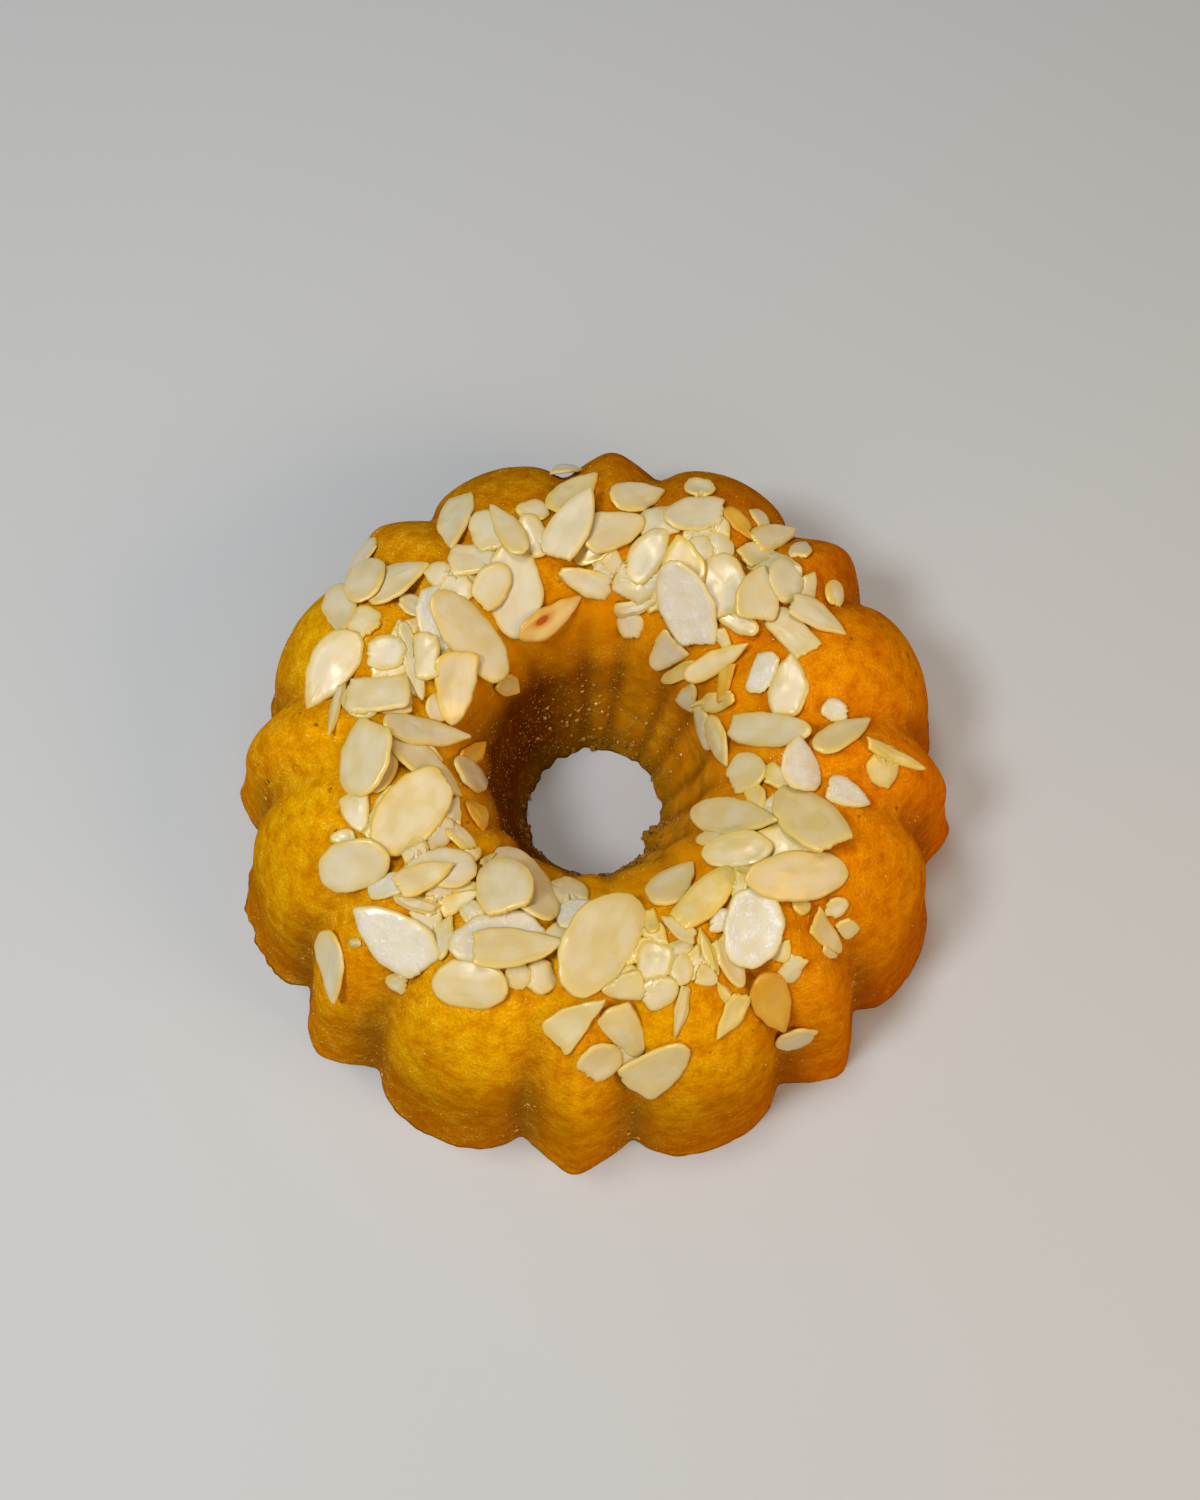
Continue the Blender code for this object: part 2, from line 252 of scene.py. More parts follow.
stations = spread(VALLEY_RADIUS, SHOULDER_RADIUS, 26)
stations += spread(SHOULDER_RADIUS, CROWN_RADIUS, 46, lambda share: 1 - cos(pi / 2 * share))
stations += spread(CROWN_RADIUS, HOLE_TOP_RADIUS, 38, lambda share: sin(pi / 2 * share))
stations += spread(HOLE_TOP_RADIUS, HOLE_BASE_RADIUS, 34) + [HOLE_BASE_RADIUS]
print("stations along the profile:", len(stations))

# %% Waves, crumb and the ragged lip
WAVES = ((31.0, 0.42), (8.5, 0.16), (2.6, 0.075))      # lump size and height
LIP_HEIGHT = 2.6
LIP_WIDTH = 1.6
LIP_BEARING = radians(206)
LIP_REACH = radians(13)
LIP_ELSEWHERE = 0.35
LIP_RAGGED = ((6.0, 1.0), (1.8, 0.3))
TORN = ((7.0, 1.0), (2.6, 0.7))
TORN_HEIGHT = 9.0
FLAP_BEARING = radians(-24)
FLAP_REACH = radians(20)
FLAP_HEIGHT = 11.0
FLAP_DEPTH = 2.4
FLAP_RAGGED = ((2.4, 1.0),)


def waver(place, lumps):
    """Noise of several sizes at a place. Lump sizes and heights are in millimetres, as the place is."""
    return sum(depth * noise.noise(place / size) for size, depth in lumps)


def torn(place, bearing):
    """How far the crumb stands out at the mouth of the hole, where the cake tore as it left the tin."""
    low = smooth_step(1 - place.z / (TORN_HEIGHT * MM))
    off = (bearing - FLAP_BEARING + pi) % (2 * pi) - pi
    flap = FLAP_DEPTH * smooth_step(1 - abs(off) / FLAP_REACH)
    flap *= smooth_step(1 - place.z / (FLAP_HEIGHT * MM))
    return low * waver(place / MM, TORN) + flap * (1 + waver(place / MM, FLAP_RAGGED))


def lip(place, bearing):
    """How far the thin edge of batter creeps out at the base, in millimetres."""
    off = (bearing - LIP_BEARING + pi) % (2 * pi) - pi
    share = LIP_ELSEWHERE + (1 - LIP_ELSEWHERE) * smooth_step(1.5 - abs(off) / LIP_REACH)
    ragged = max(0.5 + waver(place / MM, LIP_RAGGED), 0.0)
    return LIP_WIDTH * share * ragged * smooth_step(1 - place.z / (LIP_HEIGHT * MM))


# %% Spin the profile and press the flutes in
def model_skin():
    bm = bmesh.new()
    station = bm.verts.layers.int.new("station")
    crest = bm.verts.layers.float.new("crest")
    inside = bm.verts.layers.float.new("inside")
    ridge = bm.verts.layers.float.new("ridge")
    ring = []
    for index, reach in enumerate(stations):
        vert = bm.verts.new((reach * MM, 0, arch_station(reach)[1] * MM))
        vert[station] = index
        ring.append(vert)
    edges = [bm.edges.new(pair) for pair in zip(ring, ring[1:] + ring[:1])]
    bmesh.ops.spin(bm, geom=ring + edges, cent=(0, 0, 0), axis=(0, 0, 1), angle=2 * pi,
                   steps=COLUMNS, use_merge=True)
    hoops = [edge for edge in bm.edges if edge.verts[0][station] == edge.verts[1][station]]
    bmesh.ops.subdivide_edges(bm, edges=hoops, cuts=CUTS, use_grid_fill=True)
    for vert in bm.verts:
        bearing = atan2(vert.co.y, vert.co.x)
        reach = stations[vert[station]]
        vert.co, vert[crest] = skin_point(bearing, reach)
        vert[inside] = smooth_step((CROWN_RADIUS - reach) / (CROWN_RADIUS - HOLE_TOP_RADIUS))
        off_ridge = abs((bearing + SECTOR / 2) % SECTOR - SECTOR / 2)
        outer = (reach - CROWN_RADIUS) / (SHOULDER_RADIUS - CROWN_RADIUS)
        vert[ridge] = smooth_step(1.3 - off_ridge / RIDGE_HALF_ANGLE) * smooth_step(outer)
    bmesh.ops.recalc_face_normals(bm, faces=bm.faces)
    bm.normal_update()
    for vert in bm.verts:
        place = vert.co.copy()
        outwards = Vector((place.x, place.y, 0)).normalized()
        rise = waver(place / MM, WAVES) * smooth_step(place.z / MM)
        vert.co += vert.normal * rise * MM
        bearing = atan2(place.y, place.x)
        if stations[vert[station]] > CROWN_RADIUS:
            vert.co += outwards * lip(place, bearing) * MM
        else:
            vert.co -= outwards * torn(place, bearing) * MM
        vert.co.z = max(vert.co.z, 0.0)
    return bm


skin = model_skin()
print("faces of the skin:", len(skin.faces))
print("size in mm:", [round((max(v.co[i] for v in skin.verts) - min(v.co[i] for v in skin.verts)) / MM, 1)
                      for i in range(3)])

# %% [markdown]
# ## Flaked almonds
#
# A flake is a slice of a blanched kernel, about a millimetre thick: ivory, a little domed, with a rim that
# turns golden and clear where syrup soaks in, and one ragged end where the blade broke it. A plain oval
# would look stamped. So each flake starts as a circle of 72 corners laid on a smooth curve through the
# slice's own twelve corners, and pieces are broken off it along jagged lines. The flat face is extruded step
# by step. The first rings climb the edge, slanted as the blade left it, and the others dome or dent the top.
# Noise frays the outline and warps the face, and a corner that would poke up through a neighbour is tucked
# below it.

# %% A smooth outline through a slice's corners
OUTLINE_CORNERS = 72


def curve_between(a, b, c, d, share):
    """The point at a share of the way from b to c on a smooth curve through a, b, c and d."""
    return 0.5 * ((2 * b) + (c - a) * share + (2 * a - 5 * b + 4 * c - d) * share ** 2
                  + (3 * b - a - 3 * c + d) * share ** 3)


def smooth_outline(corners):
    steps = OUTLINE_CORNERS // len(corners)
    count = len(corners)
    return [curve_between(*(corners[(i + k) % count] for k in (-1, 0, 1, 2)), step / steps)
            for i in range(count) for step in range(steps)]


def middle_of(corners):
    return sum(corners, Vector((0, 0, 0))) / len(corners)


def lay_flat(corners, up):
    """A flake's middle, the way to its pointed end, the way across, and its corners in that plane."""
    middle = middle_of(corners)
    along = max((a - b for a in corners for b in corners), key=lambda side: side.length).normalized()
    across = up.cross(along).normalized()
    flat = [Vector(((c - middle).dot(along), (c - middle).dot(across))) for c in corners]
    if sum(abs(p.y) * (1 if p.x > 0 else -1) for p in flat) > 0:
        along, across, flat = -along, -across, [-p for p in flat]
    flat.sort(key=lambda p: atan2(p.y, p.x))
    return middle, along, across, flat


# %% The rings of a flake and how they warp
# Inset from the outline in millimetres and share of the thickness, from the underside up the slanted edge
FLAKE_EDGE = ((0.3, 0.0), (0.0, 0.24), (0.12, 0.5), (0.45, 0.76), (0.85, 0.93), (1.2, 1.0))
FLAKE_TOP = (0.72, 0.42, 0.14)      # then rings on the top, as shares of the last one
SLANTS = (0.3, 0.7, 1.0, 1.0, 1.2)  # how slanted the edge is: the kernel's own skin, cut high or low
DOMES = (-0.22, 0.3)                # how far the top's middle stands above its edge
DENTS = (-0.16, 0.08)               # the same halfway in
FRAY = ((4.5, 0.6), (1.7, 0.22))    # waver of a flake's outline: lump size and depth, in millimetres
JAGS = ((1.3, 0.45), (0.6, 0.28))   # the same along a break
WARP = ((6.0, 0.36), (2.4, 0.1))    # waves of its face
BEND = 0.8                          # most that its ends curl up or down
CURL = 0.5                          # the same for its two long sides
POKE = 2.6                          # a flake that comes through another by less than this is tucked back
TUCK = 0.5                          # so far below the other's face
SINK = 0.27                         # how far it settles into the syrup
GROWN = 1.05                        # a flake before its breaks, against the plain outline
BUTT_LEFT = (0.72, 0.9)             # share of the reach left by the break at the blunt end
SIDE_LEFT = (0.82, 0.95)            # the same for any other break
NOISE_STEP = (7.3, 3.1)             # so every seed reads its own stretch of the noise


def break_off(outline, dice, turn, left):
    """Break an outline off along a jagged line: `left` is the share of its reach that stays."""
    away = Vector((cos(turn), sin(turn)))
    line = left * max(p.dot(away) for p in outline)
    seed = Vector((0, 0, dice.uniform(0, 99)))
    for i, p in enumerate(outline):
        edge = line + waver(p.to_3d() + seed, JAGS)
        if p.dot(away) > edge:
            outline[i] = p * (edge / p.dot(away))


def tuck_under(place, up, covers):
    """Where a corner goes: below the face of whatever it would poke up through."""
    for tree in covers:
        hit, normal = tree.ray_cast(place, -up, POKE * MM)[:2]
        if hit is not None and normal.dot(up) > 0:
            return hit - up * TUCK * MM
    return place


def ring_sizes(half, slant):
    """For each ring of a flake: its inset in millimetres and its size along and across."""
    rings = []
    for inset, height in FLAKE_EDGE:
        inset = min(inset * slant, 0.45 * half.y)
        rings.append((inset, height, 1 - inset / half.x, 1 - inset / half.y))
    inset, height, along, across = rings[-1]
    for share in FLAKE_TOP:
        rings.append((inset + (1 - share) * half.y, height, along * share, across * share))
    return rings


def model_flake(bm, corners, up, thickness, seed, breaks, covers=()):
    """Model one flake over the flat face that a slice's corners span. Lengths in millimetres."""
    dice = random.Random(seed)
    order = bm.verts.layers.int["order"]
    rim = bm.verts.layers.float["rim"]
    grain = bm.verts.layers.float_vector["grain"]
    middle, along, across, flat = lay_flat(corners, up)
    outline = [p * GROWN for p in smooth_outline(flat)]
    shift = Vector((seed * NOISE_STEP[0], seed * NOISE_STEP[1], 0))
    outline = [p * (1 + waver(p.to_3d() + 9 * shift, FRAY) / max(p.length, 1.5)) for p in outline]
    for number in range(breaks):
        at_butt = number == 0
        turn = pi + dice.uniform(-0.5, 0.5) if at_butt else dice.uniform(-pi, pi)
        break_off(outline, dice, turn, dice.uniform(*(BUTT_LEFT if at_butt else SIDE_LEFT)))
    half = Vector((max(abs(p.x) for p in outline), max(abs(p.y) for p in outline)))
    bend, curl = dice.uniform(-BEND, BEND), dice.uniform(-CURL, CURL)
    dome, dent = dice.uniform(*DOMES), dice.uniform(*DENTS)
    lifts = [0.0] * len(FLAKE_EDGE) + [dent, 0.7 * dome, dome]
    rings = ring_sizes(half, dice.choice(SLANTS))
    verts = bmesh.ops.create_circle(bm, cap_ends=True, radius=1, segments=OUTLINE_CORNERS)["verts"]
    for i, vert in enumerate(verts):
        vert[order] = i
    face = verts[0].link_faces[0]
    for step, (inset, height, longer, wider) in enumerate(rings):
        if step:
            grown = bmesh.ops.extrude_face_region(bm, geom=[face])["geom"]
            if step > 1:
                bmesh.ops.delete(bm, geom=[face], context="FACES_ONLY")
            verts = [e for e in grown if isinstance(e, bmesh.types.BMVert)]
            face = next(e for e in grown if isinstance(e, bmesh.types.BMFace))
        for vert in verts:
            p = outline[vert[order]]
            p = Vector((p.x * longer, p.y * wider))
            rise = height * thickness - SINK + lifts[step] + waver(p.to_3d() + 6 * shift, WARP)
            rise += bend * (p.x / half.x) ** 2 + curl * (p.y / half.y) ** 2
            place = (middle + along * p.x + across * p.y + up * rise) * MM
            vert.co = tuck_under(place, up, covers)
            vert[rim] = inset
            vert[grain] = (p.x, p.y, seed)


def new_flakes():
    bm = bmesh.new()
    bm.verts.layers.int.new("order")
    bm.verts.layers.float.new("rim")
    bm.verts.layers.float_vector.new("grain")
    return bm


def pour(small, large):
    """Empty one bmesh into another. Operators slow down as a bmesh grows, so pieces start in a small one."""
    mesh = bpy.data.meshes.new("poured")
    small.to_mesh(mesh)
    large.from_mesh(mesh)
    bpy.data.meshes.remove(mesh)
    small.clear()


def add_flake(tone, *shape):
    """Add a flake to those of its tone, and return a tree that others can be tucked under."""
    small = new_flakes()
    model_flake(small, *shape)
    bmesh.ops.recalc_face_normals(small, faces=small.faces)
    tree = BVHTree.FromBMesh(small)
    pour(small, flakes[tone])
    small.free()
    return tree


TONES = ("ivory", "golden", "amber", "frosted", "toasted")
flakes = {tone: new_flakes() for tone in TONES}
print("rings in a flake:", len(FLAKE_EDGE) + len(FLAKE_TOP))

# %% [markdown]
# ## Fine flakes over the plain slices
#
# The plain slices hold the places and outlines of the larger flakes. A slice's mesh is loose triangles, so
# a copy is merged first. Its largest faces give the way up, and the twelve corners on the lower side give
# the outline that the fine flake is modelled on.

# %% Read each slice and model its flake
SLICE_THICKNESS = 1.1
SOAKED_THROUGH = ("almond_golden_09",)      # so full of syrup that it is amber
rng = random.Random(5)


def tone_of(name):
    return "amber" if name in SOAKED_THROUGH else name.split("_")[1]


def read_slice(node):
    """The corners of a plain slice's underside and the way up from it, in millimetres."""
    bm = bmesh.new()
    bm.from_mesh(node.data)
    bmesh.ops.remove_doubles(bm, verts=bm.verts, dist=0.01 * MM)
    broad = max(bm.faces, key=lambda face: face.calc_area())
    up = broad.normal if broad.normal.z > 0 else -broad.normal
    places = sorted((v.co / MM for v in bm.verts), key=lambda place: place.dot(up))
    lower = [place.copy() for place in places[:len(places) // 2]]
    up = up.copy()
    bm.free()
    return lower, up


laid = []
for number, name in enumerate(slice_nodes):
    corners, up = read_slice(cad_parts[name])
    tone = tone_of(name)
    tree = add_flake(tone, corners, up, SLICE_THICKNESS, number, rng.choice((0, 0, 1, 1)))
    laid.append((middle_of(corners), tree))
print("faces so far:", {tone: len(bm.faces) for tone, bm in flakes.items()})

# %% [markdown]
# ## Smaller flakes and chips
#
# Between the large flakes lie broken ones. Each is laid out below, one by one, as the plain slices were:
# tone, outline, bearing in degrees, radius on the tin's arch, turn in degrees from pointing away from the
# hole, length and width in millimetres. UNDER lies on the cake itself and partly under the large flakes.
# OVER fell last, but is laid first, so that the others can be tucked below it. A real flake is stiff, so it
# comes to
# rest on the high points below it: the facet, under its middle, of the convex hull round what it could
# touch.

# %% Rows laid out one by one
UNDER = (
    ("ivory", "oval", 120, 62, -180, 15, 9),
    ("ivory", "cut", 126, 57, -125, 15, 9),
    ("ivory", "oval", 136, 54, -80, 9, 8),
    ("ivory", "cut", 142, 80, 85, 14, 9),
    ("golden", "oval", 156, 65, -115, 9, 10),
    ("ivory", "sliver", 160, 52, 130, 20, 5),
    ("ivory", "cut", 157, 50, 120, 13, 5),
    ("ivory", "oval", 170, 43, 170, 7, 7),
    ("golden", "oval", 190, 55, 75, 17, 9),
    ("ivory", "leaf", 184, 47, 155, 17, 6),
    ("ivory", "cut", 202, 62, 85, 10, 7),
    ("ivory", "oval", 215, 48, 15, 11, 7),
    ("frosted", "oval", 220, 63, 155, 14, 6),
    ("ivory", "oval", 228, 61, 120, 11, 4),
    ("golden", "leaf", 234, 55, 155, 12, 5),
    ("ivory", "oval", 255, 63, 35, 7, 6),
    ("ivory", "oval", 260, 62, 15, 8, 8),
    ("ivory", "cut", 278, 63, -90, 10, 7),
    ("ivory", "slab", 286, 59, -25, 10, 8),
    ("ivory", "oval", 285, 65, 105, 10, 8),
    ("ivory", "oval", 291, 62, 75, 6, 7),
    ("frosted", "leaf", 266, 46, 120, 13, 9),
    ("ivory", "cut", 296, 65, 45, 6, 5),
    ("golden", "leaf", 298, 61, 170, 13, 4),
    ("frosted", "leaf", 306, 56, 75, 9, 6),
    ("ivory", "oval", 302, 64, -5, 14, 6),
    ("ivory", "oval", 326, 41, 35, 15, 6),
    ("frosted", "leaf", 337, 49, -170, 11, 5),
    ("ivory", "cut", 40, 32, 5, 11, 6),
    ("ivory", "oval", 22, 32, -95, 12, 8),
    ("amber", "cut", 32, 39, -140, 12, 5),
    ("golden", "leaf", 28, 35, 160, 20, 5),
    ("ivory", "cut", 60, 35, 165, 13, 9),
    ("ivory", "oval", 45, 49, -75, 13, 6),
    ("ivory", "oval", 65, 57, -60, 7, 9),
    ("ivory", "oval", 62, 60, -85, 9, 7),
    ("ivory", "leaf", 48, 72, 15, 11, 5),
    ("ivory", "cut", 54, 65, -20, 11, 7),
    ("ivory", "oval", 80, 46, 145, 14, 11),
    ("golden", "leaf", 93, 52, -70, 13, 6),
    ("ivory", "oval", 110, 57, -175, 12, 8),
    ("frosted", "oval", 10, 60, -20, 7, 6),
    ("ivory", "oval", 174, 60, 135, 11, 9),
    ("ivory", "oval", 172, 54, 170, 13, 8),
    ("ivory", "oval", 262, 41, 110, 10, 13),
    ("golden", "cut", 314, 53, -40, 9, 5),
    ("golden", "leaf", 312, 68, 110, 7, 5),
    ("frosted", "leaf", 350, 63, -5, 13, 8),
    ("frosted", "slab", 26, 47, -135, 11, 7),
    ("ivory", "cut", 78, 41, -60, 12, 4),
    ("golden", "oval", 49, 34, 155, 19, 4),
    ("ivory", "leaf", 97, 45, 65, 17, 7),
    ("golden", "leaf", 298, 73, -55, 14, 6),
    ("ivory", "oval", 278, 75, -10, 11, 7),
    ("ivory", "sliver", 289, 69, -25, 14, 3),
    ("amber", "leaf", 212, 36, 90, 9, 9),
    ("golden", "cut", 322, 73, 0, 14, 7),
    ("golden", "leaf", 357, 70, -50, 10, 9),
    ("ivory", "oval", 79, 37, -170, 9, 7),
    ("ivory", "oval", 99, 78, -75, 10, 8),
    ("ivory", "oval", 108, 63, -95, 9, 7),
    ("ivory", "leaf", 58, 73, -105, 8, 6),
    ("amber", "leaf", 61, 68, -105, 11, 6),
    ("golden", "oval", 72, 72, -110, 8, 9),
    ("golden", "oval", 37, 73, -40, 6, 8),
    ("ivory", "sliver", 176, 65, 95, 17, 3),
    ("ivory", "oval", 224, 74, 145, 4, 3),
    ("ivory", "leaf", 234, 76, 55, 6, 7),
    ("ivory", "oval", 327, 71, -65, 6, 5),
    ("ivory", "slab", 326, 76, 0, 6, 4),
    ("golden", "oval", 322, 65, -80, 5, 5),
    ("ivory", "oval", 320, 75, 15, 6, 3),
    ("ivory", "slab", 312, 72, -50, 8, 5),
    ("golden", "leaf", 298, 69, -170, 7, 3),
    ("amber", "slab", 182, 34, -150, 13, 5),
    ("amber", "sliver", 266, 56, 160, 10, 2),
    ("golden", "oval", 288, 50, -5, 8, 4),
    ("ivory", "oval", 206, 66, 150, 6, 4),
    ("frosted", "slab", 145, 52, 150, 17, 11),
    ("golden", "cut", 164, 56, -150, 11, 7),
    ("ivory", "cut", 166, 50, 160, 9, 6),
    ("ivory", "leaf", 158, 55, -55, 15, 7),
    ("golden", "leaf", 142, 33, -160, 10, 6),
    ("ivory", "cut", 204, 57, -130, 15, 6),
    ("ivory", "leaf", 88, 49, -145, 10, 5),
    ("golden", "leaf", 94, 55, 175, 15, 6),
    ("ivory", "cut", 88, 48, -110, 11, 7),
)
OVER = (
    ("ivory", "oval", 161, 58, -140, 11, 9),
    ("golden", "leaf", 224, 57, 165, 16, 8),
    ("ivory", "oval", 127, 50, 120, 13, 9),
    ("frosted", "leaf", 354, 52, 100, 13, 9),
    ("golden", "leaf", 40, 40, -15, 20, 6),
    ("golden", "sliver", 0, 71, -10, 20, 4),
    ("golden", "cut", 162, 42, 120, 18, 11),
    ("ivory", "slab", 172, 57, -165, 17, 10),
    ("ivory", "slab", 157, 50, 120, 13, 6),
)
print("smaller flakes:", len(UNDER) + len(OVER))

# %% Drop a flake onto what is below
# How fast an outline widens from its two ends: 0.5 is round, more is pointed, less is broken off square
OUTLINES = {"oval": (0.5, 0.5), "leaf": (0.5, 0.85), "cut": (0.15, 0.5), "slab": (0.15, 0.15),
            "sliver": (0.4, 0.6)}
PROBE_HEIGHT = 60.0
PROBE_RINGS = (1.0, 0.75, 0.5, 0.25, 0.02)      # where a flake is probed, as shares of its outline


def outline_half_width(kind, share):
    butt, tip = OUTLINES[kind]
    widest = butt / (butt + tip)
    return 0.5 * (share / widest) ** butt * ((1 - share) / (1 - widest)) ** tip


def outline_corners(kind, length, width, sides=12):
    corners = []
    for side in range(sides):
        share = (1 - cos(2 * pi * side / sides)) / 2
        across = width * outline_half_width(kind, min(max(share, 0.0), 1.0)) if side % (sides // 2) else 0.0
        corners.append(((share - 0.5) * length, across if side < sides / 2 else -across))
    return corners


def drop_frame(bearing, reach, turn):
    """Axes along a flake, across it and out of the cake, and its middle on the arch, in millimetres."""
    radius, height, radial, up = arch_station(reach)
    outwards = Vector((cos(bearing), sin(bearing), 0))
    normal = (outwards * radial + Vector((0, 0, up))).normalized()
    down_slope = (outwards - normal * outwards.dot(normal)).normalized()
    along = down_slope * cos(turn) + normal.cross(down_slope) * sin(turn)
    return along, normal.cross(along), normal, outwards * radius + Vector((0, 0, height))


def resting_plane(heights):
    bm = bmesh.new()
    for place in heights:
        bm.verts.new(place)
    bmesh.ops.convex_hull(bm, input=bm.verts)
    bm.normal_update()
    hull = BVHTree.FromBMesh(bm)
    place, normal = hull.ray_cast(Vector((0, 0, PROBE_HEIGHT)), Vector((0, 0, -1)))[:2]
    bm.free()
    return place.z, normal if normal.z > 0 else -normal


def drop_flake(row, trees, gap):
    """Corners of a dropped flake's underside, and the way up from it."""
    kind, bearing, reach, turn, length, width = row[1:]
    along, across, normal, middle = drop_frame(radians(bearing), reach, radians(turn))
    corners = outline_corners(kind, length, width)
    heights = []
    for scale in PROBE_RINGS:
        for u, v in corners:
            start = (middle + along * u * scale + across * v * scale + normal * PROBE_HEIGHT) * MM
            hits = [tree.ray_cast(start, -normal)[0] for tree in trees]
            hits = [(hit / MM - middle).dot(normal) for hit in hits if hit is not None]
            if hits:
                heights.append(Vector((u * scale, v * scale, max(hits))))
    height, tilt = resting_plane(heights)
    places = []
    for u, v in corners:
        rise = height - (tilt.x * u + tilt.y * v) / tilt.z + gap
        places.append(middle + along * u + across * v + normal * rise)
    return places, (along * tilt.x + across * tilt.y + normal * tilt.z).normalized()


# %% Lay the smaller flakes
CHIP_THICKNESS = 0.95
COVER_REACH = 22.0
OVER_GAP = 1.5 * SINK
OVER_SEED = 100
UNDER_SEED = 200
skin_tree = BVHTree.FromBMesh(skin)


def tree_of(meshes):
    bm = bmesh.new()
    for mesh in meshes:
        bm.from_mesh(mesh)
    tree = BVHTree.FromBMesh(bm)
    bm.free()
    return tree


def lay_below(tone, corners, up, seed, breaks):
    """Lay a small flake, tucked under all that was laid before it and comes near it."""
    middle = middle_of(corners)
    covers = [tree for other, tree in laid if (other - middle).length < COVER_REACH]
    laid.append((middle, add_flake(tone, corners, up, CHIP_THICKNESS, seed, breaks, covers)))


slice_tree = tree_of([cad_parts[name].data for name in slice_nodes])
for number, row in enumerate(OVER):
    corners, up = drop_flake(row, [skin_tree, slice_tree], OVER_GAP)
    tree = add_flake(row[0], corners, up, CHIP_THICKNESS, OVER_SEED + number, rng.choice((0, 1, 1)))
    laid.append((middle_of(corners), tree))
for number, row in enumerate(UNDER):
    corners, up = drop_flake(row, [skin_tree], SINK)
    lay_below(row[0], corners, up, UNDER_SEED + number, rng.choice((0, 1, 1, 2)))
print("faces with the hand-laid flakes:", {tone: len(bm.faces) for tone, bm in flakes.items()})

# %% [markdown]
# ## Chips that fill the gaps
#
# Where flakes were strewn thickly, broken chips fill every gap between the larger ones. Laying each by hand
# would teach nothing new, so they are drawn at random within the crowded stretches of the ring, and a chip
# whose middle would fall on a flake or another chip is drawn again. Each keeps to the cake below it, lifted
# a little where chips cross. Every try has its own seed, so a chip more or less never moves the others.

# %% Strew chips over the crowded stretches
# Bearing from and to in degrees, radius on the arch from and to, and the number of chips
CROWDED = ((38, 80, 42, 66, 9), (120, 152, 46, 60, 6), (206, 262, 42, 64, 16), (268, 298, 46, 62, 8),
           (318, 350, 42, 58, 5))
CHIP_LENGTHS = (7.0, 14.0)
CHIP_SHAPES = (0.4, 0.75)           # width over length
CHIP_LIFT = 0.7
CHIP_SPACING = 4.5
CHIP_SEED = 400
TRIES_PER_CHIP = 12
CHIP_KINDS = ("cut", "cut", "oval", "slab", "leaf")
CHIP_TONES = ("ivory", "golden", "ivory", "golden", "ivory")
so_far = {tone: BVHTree.FromBMesh(bm) for tone, bm in flakes.items()}
middles = []
seed = CHIP_SEED
for start, end, near, far, count in CROWDED:
    wanted = len(middles) + count
    for attempt in range(count * TRIES_PER_CHIP):
        seed += 1
        if len(middles) == wanted:
            continue
        rng = random.Random(seed)
        bearing, reach = rng.uniform(start, end), rng.uniform(near, far)
        normal, middle = drop_frame(radians(bearing), reach, 0)[2:]
        above = (middle + normal * PROBE_HEIGHT) * MM
        covered = any(tree.ray_cast(above, -normal)[0] for tree in so_far.values())
        if covered or any((middle - other).length < CHIP_SPACING for other in middles):
            continue
        middles.append(middle)
        length = rng.uniform(*CHIP_LENGTHS)
        tone = rng.choice(CHIP_TONES)
        row = (tone, rng.choice(CHIP_KINDS), bearing, reach, rng.uniform(-180, 180), length,
               length * rng.uniform(*CHIP_SHAPES))
        corners, up = drop_flake(row, [skin_tree], SINK + rng.uniform(0, CHIP_LIFT))
        lay_below(tone, corners, up, seed, rng.choice((1, 1, 2)))
print("chips:", len(middles))
print("faces of all flakes:", {tone: len(bm.faces) for tone, bm in flakes.items()})

# %% [markdown]
# ## Syrup
#
# Syrup gathers where flakes hold it against the sponge, and there the crust is darker and glossy. Every
# corner of the skin therefore learns how near the closest flake is, and its finish reads that.

# %% Measure how near the flakes are
SYRUP_REACH = 5.0
flake_tree = {tone: BVHTree.FromBMesh(bm) for tone, bm in flakes.items()}
syrup = skin.verts.layers.float.new("syrup")
wet = 0
for vert in skin.verts:
    near = [tree.find_nearest(vert.co, SYRUP_REACH * MM)[3] for tree in flake_tree.values()]
    near = [distance / MM for distance in near if distance is not None]
    if near:
        vert[syrup] = smooth_step(1 - min(near) / SYRUP_REACH)
        wet += 1
print("corners of the skin near a flake:", wet)

# %% [markdown]
# ## Beads of syrup
#
# A brushed cake glistens in points, not all over: the syrup draws up into beads in the grooves, round the
# flakes and down the hole. Gloss painted on the crust would look like varnish. So beads are modelled, each a
# small ball flattened and sunk by half, and their places are drawn among the skin's corners, likelier where
# the skin is wet. Twenty faces each are enough for something half a millimetre wide. Rounder drops hang in
# the grooves and on the far wall of the hole. What the eye sees of a bead is the one point that mirrors the
# window, so their tops lean towards GLINT_WAY, halfway between the window and the eye.

# %% Strew beads over the wet places
BEADS = 3600
BEAD_RADII = (0.12, 0.32)
BEAD_LEAN = 0.7
BEAD_SQUASH = 0.5
BEADS_IN_BATCH = 60
PATCH_SIZE = 7.0                            # beads come and go in patches this wide
DROPS_IN_HOLE = 90
DROP_BEARING = (radians(85), 0.6)           # middle and spread of their bearings on the hole's wall
DROP_HEIGHTS = (4, 36)
DROP_LEAN = 0.35
DROPS_IN_GROOVES = 60
GROOVE_HEIGHTS = (3, 36)
DROP_RADII = (0.3, 0.9)
GLINT_WAY = Vector((-0.19, -0.25, 0.95))


